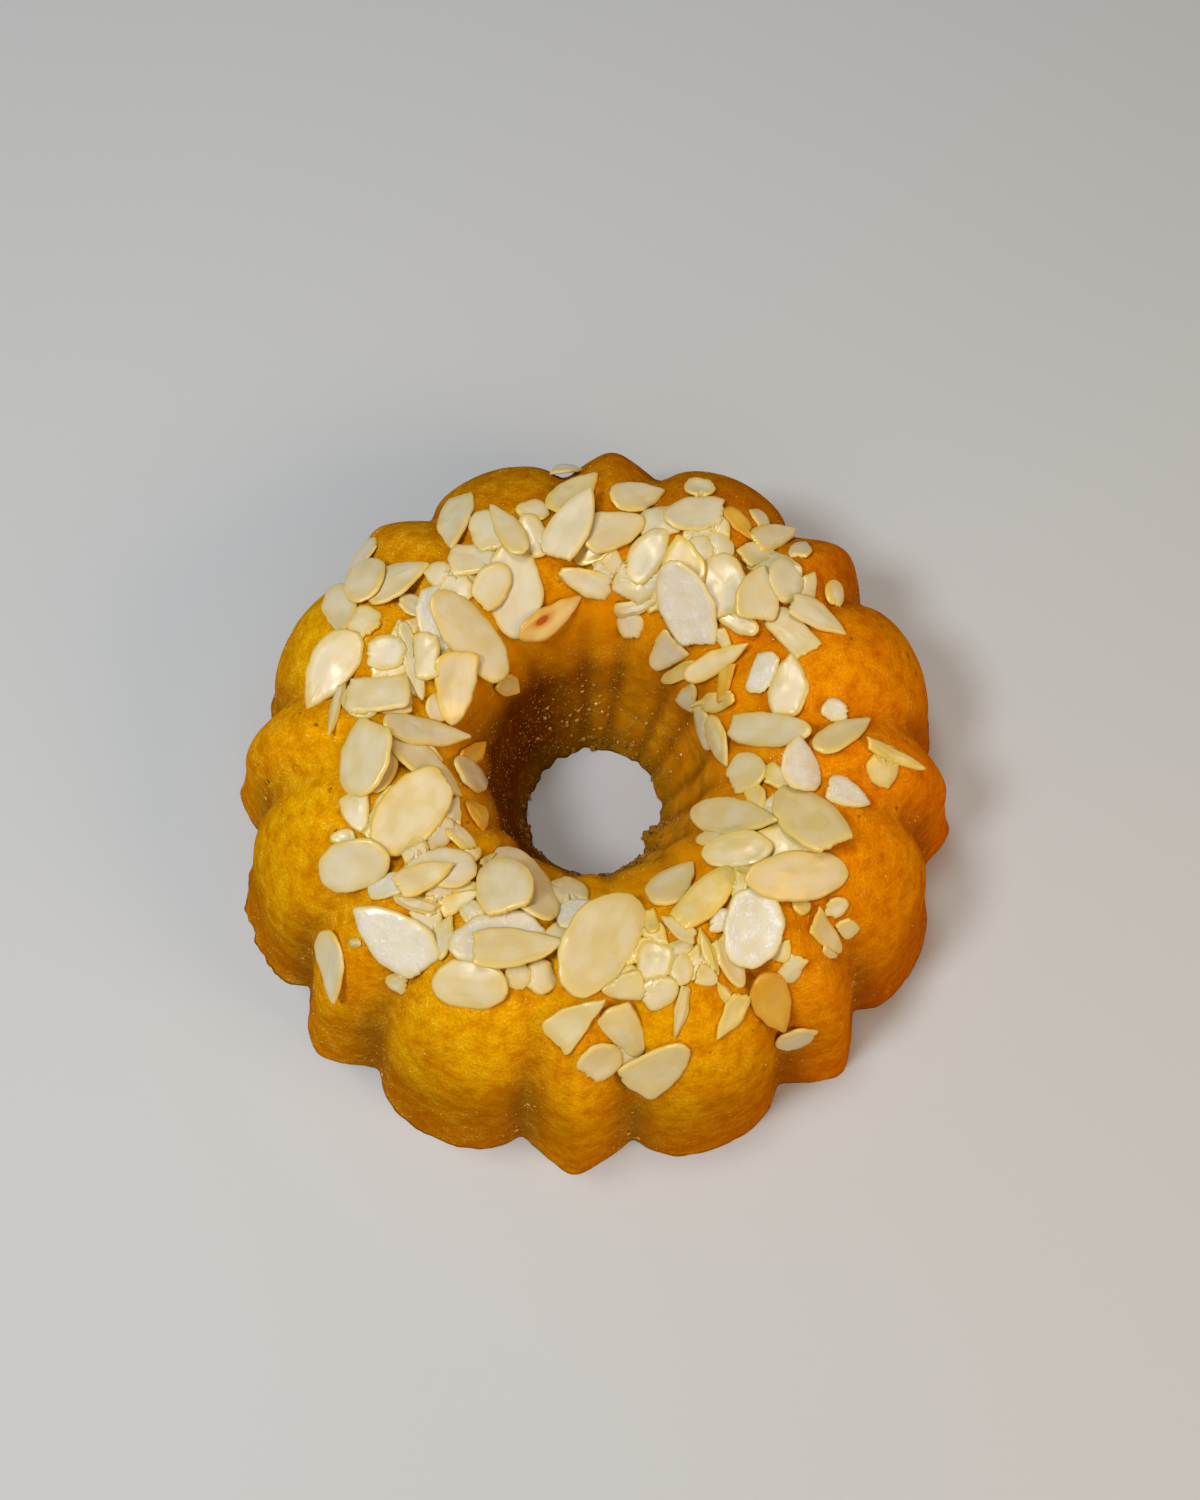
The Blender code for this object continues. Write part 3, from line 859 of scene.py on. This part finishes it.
def wetness_of(vert):
    """How likely a bead is at a corner of the skin."""
    low = smooth_step(1 - vert.co.z / (48 * MM))
    groove = smooth_step(1.1 - 1.4 * vert[skin_crest]) * (0.25 + 0.75 * low)
    left = smooth_step(-vert.co.x / (70 * MM)) * 0.3
    return max(groove, 0.4 * vert[skin_inside], 0.3 * vert[syrup], left, 0.03)


def scatter(bm, place, normal, kind, size, squash, dice):
    """Add a bead, a rounder drop or a cube at a place, turned at random and flattened along the normal."""
    turn = Quaternion(normal, dice.uniform(0, 2 * pi)) @ normal.to_track_quat("Z", "Y")
    sides = Vector((size, size * dice.uniform(0.7, 1.0), size * squash)) * MM
    matrix = Matrix.LocRotScale(place, turn, sides)
    if kind == "cube":
        return bmesh.ops.create_cube(bm, size=1, matrix=matrix)["verts"]
    subdivisions = 1 if kind == "bead" else 2
    return bmesh.ops.create_icosphere(bm, subdivisions=subdivisions, radius=1, matrix=matrix)["verts"]


skin_crest = skin.verts.layers.float["crest"]
skin_inside = skin.verts.layers.float["inside"]
skin.verts.ensure_lookup_table()
skin.normal_update()
by_place = sorted(skin.verts, key=lambda vert: vert.co.x)
beads = bmesh.new()
batch = bmesh.new()
count = 0
seed = 0
while count < BEADS:
    seed += 1
    rng = random.Random(seed)
    vert = rng.choice(by_place)
    patch = smooth_step(0.5 + 2.2 * noise.noise(vert.co / (PATCH_SIZE * MM)))
    if vert.normal.z < -0.2 or rng.random() > wetness_of(vert) * patch:
        continue
    jitter = Vector([rng.uniform(-0.5, 0.5) for axis in range(3)]) * MM
    flat = jitter - vert.normal * jitter.dot(vert.normal)
    top = (vert.normal + BEAD_LEAN * GLINT_WAY).normalized()
    scatter(batch, vert.co + flat, top, "bead", rng.uniform(*BEAD_RADII), BEAD_SQUASH, rng)
    count += 1
    if count % BEADS_IN_BATCH == 0:
        pour(batch, beads)
rng = random.Random(6)
for number in range(DROPS_IN_HOLE):
    bearing, z = rng.gauss(*DROP_BEARING), rng.uniform(*DROP_HEIGHTS)
    out = Vector((cos(bearing), sin(bearing), 0))
    place, normal = skin_tree.ray_cast(Vector((0, 0, z * MM)), out)[:2]
    size = DROP_RADII[0] + (DROP_RADII[1] - DROP_RADII[0]) * rng.random() ** 2
    top = normal * DROP_LEAN + GLINT_WAY + Vector([rng.uniform(-0.2, 0.2) for axis in range(3)])
    scatter(batch, place, top.normalized(), "drop", size, rng.uniform(0.2, 0.4), rng)
grooves = [vert for vert in by_place if vert[skin_crest] < 0.35 and vert.normal.z > -0.1
           and GROOVE_HEIGHTS[0] < vert.co.z / MM < GROOVE_HEIGHTS[1] and not vert[skin_inside]]
for number in range(DROPS_IN_GROOVES):
    rng = random.Random(number)
    vert = rng.choice(grooves)
    size = DROP_RADII[0] + (DROP_RADII[1] - DROP_RADII[0]) * rng.random() ** 3
    scatter(batch, vert.co, vert.normal, "drop", size, rng.uniform(0.3, 0.5), rng)
pour(batch, beads)
print("beads of syrup:", count, "with faces:", len(beads.faces))

# %% [markdown]
# ## Sugar and crumbs
#
# Fine sugar clings to the frosted flakes and lies in small drifts between some others: tiny cubes, as sugar
# really is. Crumbs are torn sponge: balls whose corners are pushed about by noise until they look ragged.
# Most gather at the bottom of the hole, where the cake came away from the tin, and a few lie on top.

# %% Strew sugar on the frosted flakes and in drifts
SUGAR_ON_FLAKES = 320
SUGAR_SIZES = (0.12, 0.3)
# Bearing in degrees, radius on the arch, spread in millimetres and number of grains
DRIFTS = ((49, 46, 2.5, 24), (38, 55, 2.2, 20), (256, 66, 3.2, 20), (352, 49, 4.0, 50), (338, 46, 3.0, 30),
          (236, 60, 4.0, 26), (132, 55, 3.5, 20), (288, 58, 3.5, 20), (66, 52, 3.0, 20))


def loose_place(bearing, reach, spread_by, trees):
    """A random place on top of everything, near a bearing and a radius on the arch."""
    along, across, normal, middle = drop_frame(radians(bearing), reach, 0)
    start = middle + along * rng.gauss(0, spread_by) + across * rng.gauss(0, spread_by) + normal * 20
    hits = [tree.ray_cast(start * MM, -normal) for tree in trees]
    hits = [hit for hit in hits if hit[0] is not None]
    return min(hits, key=lambda hit: hit[3])[:2]


sugar = bmesh.new()
rng = random.Random(7)
LEAST_FACE = 0.01           # in square millimetres
frosted_faces = [face for face in flakes["frosted"].faces
                 if face.normal.z > 0.3 and face.calc_area() > LEAST_FACE * MM ** 2]
frosted_faces.sort(key=lambda face: face.calc_center_median().x)
for grain in range(SUGAR_ON_FLAKES):
    face = rng.choice(frosted_faces)
    scatter(sugar, face.calc_center_median(), face.normal, "cube", rng.uniform(*SUGAR_SIZES), 0.8, rng)
drift_trees = list(flake_tree.values()) + [skin_tree]
for bearing, reach, spread_by, grains in DRIFTS:
    for grain in range(grains):
        place, normal = loose_place(bearing, reach, spread_by, drift_trees)
        scatter(sugar, place, normal, "cube", rng.uniform(*SUGAR_SIZES), 0.9, rng)
print("faces of the sugar:", len(sugar.faces))

# %% Tear crumbs
CRUMB_SIZES = (0.5, 1.3)
# Bearing from and to in degrees, height from and to in millimetres, number of crumbs: on the hole's wall
CRUMBS_IN_HOLE = ((300, 352, 0.5, 10, 38), (150, 300, 0.5, 7, 22), (20, 150, 0.5, 6, 14))
CRUMBS_ON_TOP = 26
TOP_CRUMB_SIZES = (0.3, 0.6)
TOP_CRUMB_REACH = (38, 84)


def tear_crumb(place, normal, size):
    """Add a ragged crumb at a place, and lift it where it would sink below the base."""
    verts = bmesh.ops.create_icosphere(crumbs, subdivisions=2, radius=1)["verts"]
    turn = Quaternion(normal, rng.uniform(0, 2 * pi))
    seed = Vector((rng.uniform(0, 99), rng.uniform(0, 99), 0))
    stretch = Vector((rng.uniform(0.7, 1.3), rng.uniform(0.6, 1.0), rng.uniform(0.5, 0.8)))
    for vert in verts:
        lump = 1 + 0.55 * noise.noise(vert.co * 1.3 + seed) + 0.35 * noise.noise(vert.co * 3.1 + seed)
        vert.co = place + turn @ (vert.co * lump * stretch) * size * MM
    sunk = min(0, min(vert.co.z for vert in verts))
    bmesh.ops.translate(crumbs, verts=verts, vec=(0, 0, -sunk))


crumbs = bmesh.new()
rng = random.Random(8)
for start, end, low, high, number in CRUMBS_IN_HOLE:
    for crumb_index in range(number):
        bearing, z = radians(rng.uniform(start, end)), rng.uniform(low, high)
        out = Vector((cos(bearing), sin(bearing), 0))
        place, normal = skin_tree.ray_cast(Vector((0, 0, z * MM)), out)[:2]
        tear_crumb(place, normal, rng.uniform(*CRUMB_SIZES))
for crumb_index in range(CRUMBS_ON_TOP):
    place, normal = loose_place(rng.uniform(0, 360), rng.uniform(*TOP_CRUMB_REACH), 1.0, [skin_tree])
    tear_crumb(place, normal, rng.uniform(*TOP_CRUMB_SIZES))
for bm in (beads, sugar, crumbs):
    bmesh.ops.recalc_face_normals(bm, faces=bm.faces)
print("faces of the crumbs:", len(crumbs.faces))

# %% Turn the meshes into pieces
def new_piece(name, bm, replaced=(), smooth=True):
    mesh = bpy.data.meshes.new(name)
    bm.to_mesh(mesh)
    bm.free()
    if smooth:
        mesh.shade_smooth()
    piece = bpy.data.objects.new(name, mesh)
    scene.collection.objects.link(piece)
    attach(piece, "root")
    if replaced:
        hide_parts(*replaced)
    print(name, "has", len(mesh.polygons), "faces")
    return piece


cake = new_piece("cake_skin", skin, ["cake"])
almonds = {}
for tone in TONES:
    replaced = [name for name in slice_nodes if tone_of(name) == tone]
    almonds[tone] = new_piece("almonds_" + tone, flakes[tone], replaced)
syrup_beads = new_piece("syrup_beads", beads)
sugar_grains = new_piece("sugar_grains", sugar, smooth=False)
sponge_crumbs = new_piece("sponge_crumbs", crumbs)

# %% [markdown]
# ## The cake's finish
#
# The crust of a syrup cake isn't one yellow. The tops of the lobes are bright amber, the ridges more orange,
# and the crust is darker and browner towards the base and in the valleys. Inside the hole the crust stayed
# wet; its colour there is painted shade on the left wall and at the foot, and painted light on the right
# wall and the flute crests. So the colour is mixed by the height, by how far the skin stands out of the
# valleys and by the hole, and then broken up by mottling at three sizes. Two broad tints follow: painted
# warm light and shade that make the right side redder, and painted shade that makes the far side browner.
# Then come small dark pores, partly painted shade in the pits, and pale specks that are painted glints. The
# crust has no
# mirror of its own: a smooth shine at a low angle would look like varnish, and the beads of syrup bring the
# glints.

# %% Colours of the crust
CRUST_LOW = rgb(0.56, 0.180, 0.001)
CRUST_TOP = rgb(0.79, 0.368, 0.001)
RIDGE_ORANGE = rgb(0.82, 0.285, 0.001)
VALLEY_BROWN = rgb(0.40, 0.160, 0.006)
# Painted shade and painted light for the hole's walls
HOLE_PAINTED_SHADE = rgb(0.080, 0.020, 0.001)
HOLE_PAINTED_LIGHT = rgb(0.78, 0.39, 0.003)
# Painted shade at the foot of the hole
HOLE_FOOT_SHADE = rgb(0.22, 0.115, 0.002)
SOAKED_ORANGE = rgb(0.60, 0.22, 0.001)
LUMP_BROWN = rgb(0.56, 0.19, 0.001)
RIGHT_WARM_LIGHT_TINT = rgb(1.0, 0.70, 0.9)
FAR_PAINTED_SHADE = rgb(0.60, 0.59, 0.8)
PORE_BROWN_AND_SHADE = rgb(0.17, 0.045, 0.004)
PAINTED_GLINT = rgb(0.97, 0.68, 0.13)

# %% Mix the crust
crust = Finish("cake", Metallic=0.0, IOR=1.45, Specular_IOR_Level=0.0,
               Subsurface_Weight=0.2, Subsurface_Scale=0.003, Subsurface_Radius=(1.0, 0.42, 0.08),
               Coat_Roughness=0.14, Coat_IOR=1.4)
height = crust.add("SeparateXYZ", {0: crust.place}).outputs["Z"]
crest = crust.attribute("crest")
inside = crust.attribute("inside")
soaked = crust.attribute("syrup")
patches = crust.noise(crust.place, 0.016, 3.0, 0.55)
lumps = crust.noise(crust.place, 0.004, 3.0, 0.55)
crumb = crust.noise(crust.place, 0.0008, 2.0, 0.65)

wavering = crust.math("MULTIPLY_ADD", patches, 0.02)
wavering.node.inputs[2].default_value = -0.01       # so patches shift the levels by 10 mm up or down
level = crust.math("ADD", height, wavering)
# The crust is darker and browner towards the base and, below, in the valleys
colour = crust.mix(crust.remap(level, 0.008, 0.060), CRUST_LOW, CRUST_TOP)
ridge = crust.attribute("ridge")
colour = crust.mix(crust.math("MULTIPLY", ridge, 0.5), colour, RIDGE_ORANGE)
lower = crust.remap(level, 0.062, 0.028, 0.12, 0.85)
valley = crust.math("MULTIPLY", crust.remap(crest, 0.85, 0.15), lower)
colour = crust.mix(valley, colour, VALLEY_BROWN)
# Painted light and shade in the hole: lighter on the flute crests and towards the right wall, and painted
# shade on the left wall, which faces away from the window
fluting = crust.remap(crest, 0.1, 0.9, 0.35, 1.0)
blotches = crust.noise(crust.place, 0.0052, 2.0, 0.5)
across = crust.add("SeparateXYZ", {0: crust.place}).outputs
lit = crust.math("MULTIPLY", fluting, crust.remap(blotches, 0.34, 0.62, 0.66, 0.92))
lit = crust.math("MULTIPLY", lit, crust.remap(across["X"], -0.020, 0.012, 0.0, 1.0))
hole_light_and_shade = crust.mix(lit, HOLE_PAINTED_SHADE, HOLE_PAINTED_LIGHT)
painted_hole_share = crust.math("MULTIPLY", crust.remap(inside, 0.6, 1.0), crust.remap(level, 0.060, 0.032, 0.0, 0.92))
colour = crust.mix(painted_hole_share, colour, hole_light_and_shade)
# Painted shade at the foot of the hole's wall, deep down where little light reaches
foot = crust.math("MULTIPLY", crust.remap(inside, 0.8, 1.0), crust.remap(height, 0.016, 0.003, 0.0, 0.7))
colour = crust.mix(foot, colour, HOLE_FOOT_SHADE)
colour = crust.mix(crust.math("MULTIPLY", soaked, 0.3), colour, SOAKED_ORANGE)
colour = crust.mix(crust.remap(lumps, 0.5, 0.3, 0.0, 0.3), colour, LUMP_BROWN)

# %% Mottle it, then tint it with painted warm light and painted shade
mottle = crust.remap(lumps, 0.3, 0.7, 0.86, 1.10)
mottle = crust.math("MULTIPLY", mottle, crust.remap(crumb, 0.3, 0.7, 0.82, 1.14))
mottle = crust.math("MULTIPLY", mottle, crust.remap(patches, 0.3, 0.7, 0.84, 1.10))
redder = crust.math("POWER", mottle, 0.5)           # red changes less, or the dark spots would look olive
stain = crust.add("CombineColor", {0: redder, 1: mottle, 2: mottle}).outputs[0]
colour = crust.mix(crust.remap(inside, 0.2, 0.9, 1.0, 0.4), colour, stain, "MULTIPLY")
# Painted warm light and shade: the right and far side, out of the window's light and lit by the warm lamp,
# are tinted redder
rightwards = crust.math("MULTIPLY", across["X"], 0.9)
rightwards = crust.math("ADD", rightwards, crust.math("MULTIPLY", across["Y"], 0.5))
colour = crust.mix(crust.remap(rightwards, -0.05, 0.08), colour, RIGHT_WARM_LIGHT_TINT, "MULTIPLY")
# Painted shade: the far side, away from the window, is darker and browner
colour = crust.mix(crust.remap(across["Y"], 0.02, 0.1), colour, FAR_PAINTED_SHADE, "MULTIPLY")

# %% Pores and painted glints
ragged = crust.remap(crumb, 0.3, 0.7, -0.03, 0.05)
pore_cells = crust.math("ADD", crust.cells(crust.place, 0.0085), ragged)
pores = crust.math("MULTIPLY", crust.remap(pore_cells, 0.09, 0.045), crust.remap(patches, 0.46, 0.56))
# The pores are darker: partly browner crumb, partly painted shade in the pits
colour = crust.mix(crust.math("MULTIPLY", pores, 0.7), colour, PORE_BROWN_AND_SHADE)
# Painted glints: small pale specks, more of them on the left towards the window
glint_cells = crust.cells(crust.place, 0.0009)
painted_glints = crust.math("MULTIPLY", crust.remap(glint_cells, 0.34, 0.16), crust.remap(lumps, 0.48, 0.58))
painted_glints = crust.math("MULTIPLY", painted_glints, crust.remap(across["X"], 0.0, -0.05, 0.25, 0.6))
painted_glints = crust.math("MULTIPLY", painted_glints, crust.remap(patches, 0.42, 0.58, 0.3, 1.0))
colour = crust.mix(painted_glints, colour, PAINTED_GLINT)

# %% Relief and gloss
relief = crust.bump(crust.math("MULTIPLY", crumb, crust.remap(inside, 0.2, 0.9, 1.0, 0.3)), 0.00036)
relief = crust.bump(crust.math("MULTIPLY", lumps, crust.remap(inside, 0.0, 1.0, 0.7, 0.2)), 0.0007, relief)
relief = crust.bump(crust.math("SUBTRACT", 1.0, pores), 0.0004, relief)
wetness = crust.math("MAXIMUM", crust.math("MULTIPLY", soaked, 0.6), crust.math("MAXIMUM", inside, valley))
dull = crust.remap(wetness, 0.0, 1.0, 0.64, 0.54)
dull = crust.math("ADD", dull, crust.remap(crumb, 0.35, 0.65, 0.08, -0.10))
moist = crust.math("MULTIPLY", crust.remap(crumb, 0.6, 0.7), crust.remap(lumps, 0.45, 0.6))
coat = crust.math("MULTIPLY", crust.math("MULTIPLY", wetness, moist), 0.3)
crust.join(Base_Color=colour, Roughness=dull, Coat_Weight=coat, Normal=relief, Coat_Normal=relief)
cake.data.materials.append(crust.material)
print("nodes in the crust:", len(crust.tree.nodes))

# %% [markdown]
# ## Syrup, sugar and crumbs
#
# The beads are painted paler than the crust, a painted highlight, and darker down the hole, a painted shade.
# They have a full coat of gloss. Sugar is white and slightly clear. Crumbs are the same sponge as the crust,
# browner and without its gloss.

# %% Finish the small pieces
syrup_finish = Finish("syrup", Metallic=0.0, IOR=1.46, Roughness=0.3, Coat_Weight=1.0, Coat_Roughness=0.12)
thick = syrup_finish.noise(syrup_finish.place, 0.012)
thick = syrup_finish.remap(thick, 0.35, 0.65)
# The beads' pale amber is a painted highlight
syrup_colour = syrup_finish.mix(thick, rgb(0.62, 0.26, 0.004), rgb(0.86, 0.50, 0.04))
flat_place = syrup_finish.stretch(syrup_finish.place, (1, 1, 0))
from_axis = syrup_finish.add("VectorMath", {0: flat_place}, operation="LENGTH").outputs["Value"]
# Painted shade: beads down the hole are darker
bead_hole_shade = syrup_finish.remap(from_axis, 0.036, 0.028)
syrup_colour = syrup_finish.mix(bead_hole_shade, syrup_colour, rgb(0.44, 0.21, 0.015))
syrup_beads.data.materials.append(syrup_finish.join(Base_Color=syrup_colour))
sugar_finish = Finish("sugar", Metallic=0.0, IOR=1.54, Roughness=0.22, Subsurface_Weight=0.3,
                      Subsurface_Scale=0.0006)
haze = sugar_finish.cells(sugar_finish.place, 0.0006, "Color")
haze = sugar_finish.add("SeparateColor", {0: haze}).outputs[0]
white = sugar_finish.mix(haze, rgb(0.88, 0.74, 0.40), rgb(0.93, 0.88, 0.70))
sugar_grains.data.materials.append(sugar_finish.join(Base_Color=white))
crumb_finish = Finish("sponge", Metallic=0.0, IOR=1.45, Specular_IOR_Level=0.1, Roughness=0.7)
grit = crumb_finish.noise(crumb_finish.place, 0.0006, 3.0)
gritty = crumb_finish.remap(grit, 0.3, 0.7)
crumb_colour = crumb_finish.mix(gritty, rgb(0.16, 0.07, 0.006), rgb(0.48, 0.22, 0.012))
crumb_relief = crumb_finish.bump(grit, 0.0004)
sponge_crumbs.data.materials.append(crumb_finish.join(Base_Color=crumb_colour, Normal=crumb_relief))
print("small pieces finished:", syrup_beads.name, sugar_grains.name, sponge_crumbs.name)

# %% [markdown]
# ## The almonds' finishes
#
# All flakes share one make-up, with other colours for each tone: ivory ones are nearly dry, golden ones took
# up syrup and amber ones are soaked through. The flake's own coordinates, kept on its corners in
# millimetres, carry the pattern, so the fibres always run lengthwise. The golden rim reads the distance from
# the edge, and the flakes are painted warmer towards the near right: painted warm light from the lamp there.
# Frosted flakes carry a crust of fine sugar: paler, and rough in tiny facets that sparkle. The toasted one
# has a burnt spot.

# %% Mix a flake
FLAKE_TONES = {                 # pale body, warm body, rim
    "ivory": (rgb(0.725, 0.645, 0.44), rgb(0.71, 0.555, 0.22), rgb(0.76, 0.57, 0.13)),
    "golden": (rgb(0.80, 0.69, 0.42), rgb(0.78, 0.58, 0.16), rgb(0.80, 0.56, 0.07)),
    "amber": (rgb(0.78, 0.50, 0.07), rgb(0.72, 0.38, 0.02), rgb(0.68, 0.32, 0.01)),
    "frosted": (rgb(0.75, 0.71, 0.58), rgb(0.73, 0.64, 0.40), rgb(0.76, 0.61, 0.21)),
    "toasted": (rgb(0.82, 0.60, 0.22), rgb(0.76, 0.48, 0.12), rgb(0.74, 0.42, 0.05)),
}
SYRUPY_TONES = ("golden", "amber")
BLOOM_WHITE = rgb(0.89, 0.85, 0.78)
SCORCHED = rgb(0.72, 0.28, 0.01)
BURNT = rgb(0.50, 0.10, 0.004)


def mix_flake(tone):
    pale, warm, edge = FLAKE_TONES[tone]
    finish = Finish("almond_" + tone, Metallic=0.0, IOR=1.47, Specular_IOR_Level=0.5,
                    Subsurface_Weight=0.3, Subsurface_Scale=0.0014, Subsurface_Radius=(1.0, 0.8, 0.5),
                    Coat_Roughness=0.16, Coat_IOR=1.4)
    grain = finish.attribute("grain", "Vector")
    rim = finish.attribute("rim")
    own = finish.add("TexWhiteNoise", {"Vector": finish.stretch(grain, (0, 0, 1))}).outputs["Value"]
    clouds = finish.noise(finish.stretch(grain, (1, 1, 3.7)), 6.0, 1.0)
    fibres = finish.noise(finish.stretch(grain, (0.12, 1, 3.7)), 1.1, 2.0)
    across = finish.add("SeparateXYZ", {0: finish.place}).outputs
    # Painted warm light: flakes towards the near right, by the warm lamp, are mixed warmer
    near_right = finish.math("MULTIPLY", finish.math("SUBTRACT", across["X"], across["Y"]), 0.7)
    warm_light_share = finish.remap(near_right, -0.01, 0.055, 0.0, 0.45)
    share = finish.remap(clouds, 0.35, 0.65, 0.0, 0.5)
    share = finish.math("ADD", share, finish.remap(own, 0.0, 1.0, -0.2, 0.2))
    share = finish.math("ADD", share, finish.remap(rim, 3.0, 0.4, 0.0, 0.6))
    share = finish.math("ADD", share, warm_light_share)
    colour = finish.mix(finish.add("Clamp", {0: share}).outputs[0], pale, warm)
    streak = finish.remap(fibres, 0.3, 0.7, 0.98, 1.015)
    grey = finish.add("CombineColor", {0: streak, 1: streak, 2: streak}).outputs[0]
    colour = finish.mix(1.0, colour, grey, "MULTIPLY")
    rim_share = finish.remap(rim, 1.3, 0.3, 0.0, 0.85)
    rim_share = finish.math("MULTIPLY", rim_share, finish.remap(clouds, 0.3, 0.6, 0.5, 1.0))
    colour = finish.mix(rim_share, colour, edge)
    ripples = finish.noise(finish.stretch(grain, (0.5, 1, 2.9)), 2.2, 2.0)
    swell = finish.noise(finish.stretch(grain, (1, 1, 2.3)), 6.0, 0.0)
    glossy = finish.bump(swell, 0.0004)
    glossy = finish.bump(ripples, 0.00005, glossy)
    relief = finish.bump(fibres, 0.00003, glossy)
    dull = finish.remap(clouds, 0.3, 0.7, 0.46, 0.30)
    coat = finish.remap(clouds, 0.42, 0.6, 0.05, 0.8 if tone in SYRUPY_TONES else 0.4)
    if tone == "frosted":
        bloom = finish.noise(finish.stretch(grain, (1, 1, 1.9)), 3.6, 3.0)
        bloom = finish.math("MULTIPLY", finish.remap(bloom, 0.42, 0.58), finish.remap(rim, 0.5, 1.8))
        facets = finish.cells(grain, 0.36, "Color")
        sparkle = finish.add("SeparateColor", {0: facets}).outputs[0]
        relief = finish.bump(finish.math("MULTIPLY", sparkle, bloom), 0.00012, relief)
        white = finish.math("MULTIPLY", bloom, finish.remap(sparkle, 0.3, 0.95, 0.25, 0.9))
        colour = finish.mix(white, colour, BLOOM_WHITE)
        dull = finish.math("SUBTRACT", dull, finish.math("MULTIPLY", white, 0.2))
    if tone == "toasted":
        spot = finish.stretch(grain, (0.5, 1, 0))
        spot = finish.add("VectorMath", {0: spot, 1: (-1.6, 1.2, 0)}, operation="DISTANCE").outputs["Value"]
        colour = finish.mix(finish.remap(spot, 2.6, 0.5), colour, SCORCHED)
        colour = finish.mix(finish.remap(spot, 1.3, 0.7), colour, BURNT)
    return finish.join(Base_Color=colour, Roughness=dull, Coat_Weight=coat, Normal=relief,
                       Coat_Normal=glossy)


for tone in TONES:
    almonds[tone].data.materials.append(mix_flake(tone))
print("almond finishes:", len(almonds))

# %% [markdown]
# ## A plain floor, soft light and the camera
#
# The cake stands on a plain pale floor. Four round lamps light it: a window at the front left, a broad faint
# one in front, one overhead whose light falls down the hole, and a small warm one at the right. A dim pale
# world fills the shade. The camera looks down from in front and above, and is turned a little on its axis.

# %% Floor
FLOOR_HALF = 1.6
floor_bm = bmesh.new()
bmesh.ops.create_grid(floor_bm, x_segments=1, y_segments=1, size=FLOOR_HALF)
floor_mesh = bpy.data.meshes.new("floor")
floor_bm.to_mesh(floor_mesh)
floor_bm.free()
floor = bpy.data.objects.new("floor", floor_mesh)
scene.collection.objects.link(floor)
paint = Finish("floor", Base_Color=rgb(0.55, 0.58, 0.60), Roughness=0.6)
floor.data.materials.append(paint.material)

# %% Light
LAMP_AIM = Vector((0, 0, 0.03))


def hang_lamp(name, place, size, power, colour):
    lamp = bpy.data.lights.new(name, "AREA")
    lamp.shape = "DISK"
    lamp.size = size
    lamp.energy = power
    lamp.color = colour
    hung = bpy.data.objects.new(name, lamp)
    hung.location = place
    hung.rotation_euler = (LAMP_AIM - Vector(place)).to_track_quat("-Z", "Y").to_euler()
    scene.collection.objects.link(hung)


hang_lamp("window", (-0.50, -0.26, 1.06), 0.28, 5.9, (0.98, 0.99, 1.0))
hang_lamp("front_fill", (0.15, -0.95, 1.05), 1.0, 2.4, (1.0, 0.98, 0.95))
hang_lamp("ceiling", (-0.22, 0.18, 1.22), 0.3, 4.1, (1.0, 0.99, 0.96))
hang_lamp("room_lamp", (0.62, -0.3, 0.6), 0.4, 2.4, (1.0, 0.62, 0.3))
world = bpy.data.worlds.new("studio")
world.use_nodes = True
sky = world.node_tree.nodes["Background"]
sky.inputs["Color"].default_value = rgb(1.0, 0.98, 0.95)
sky.inputs["Strength"].default_value = 0.11
scene.world = world
scene.view_settings.view_transform = "Standard"

# %% Camera
CAMERA_PLACE = Vector((0, -154.7, 515.5)) * MM
CAMERA_AIM = Vector((0.64, 6.79, 35.0)) * MM
CAMERA_ROLL = radians(3.178)
FOCAL_LENGTH = 45.39        # in millimetres, on a frame 36 mm long
lens = bpy.data.cameras.new("camera")
lens.lens = FOCAL_LENGTH
lens.sensor_fit = "AUTO"
lens.sensor_width = 36
camera = bpy.data.objects.new("camera", lens)
camera.location = CAMERA_PLACE
camera.rotation_mode = "QUATERNION"
look = (CAMERA_AIM - CAMERA_PLACE).to_track_quat("-Z", "Y")
camera.rotation_quaternion = look @ Quaternion((0, 0, 1), CAMERA_ROLL)
scene.collection.objects.link(camera)
scene.camera = camera
print("camera distance in mm:", round(CAMERA_PLACE.length / MM))
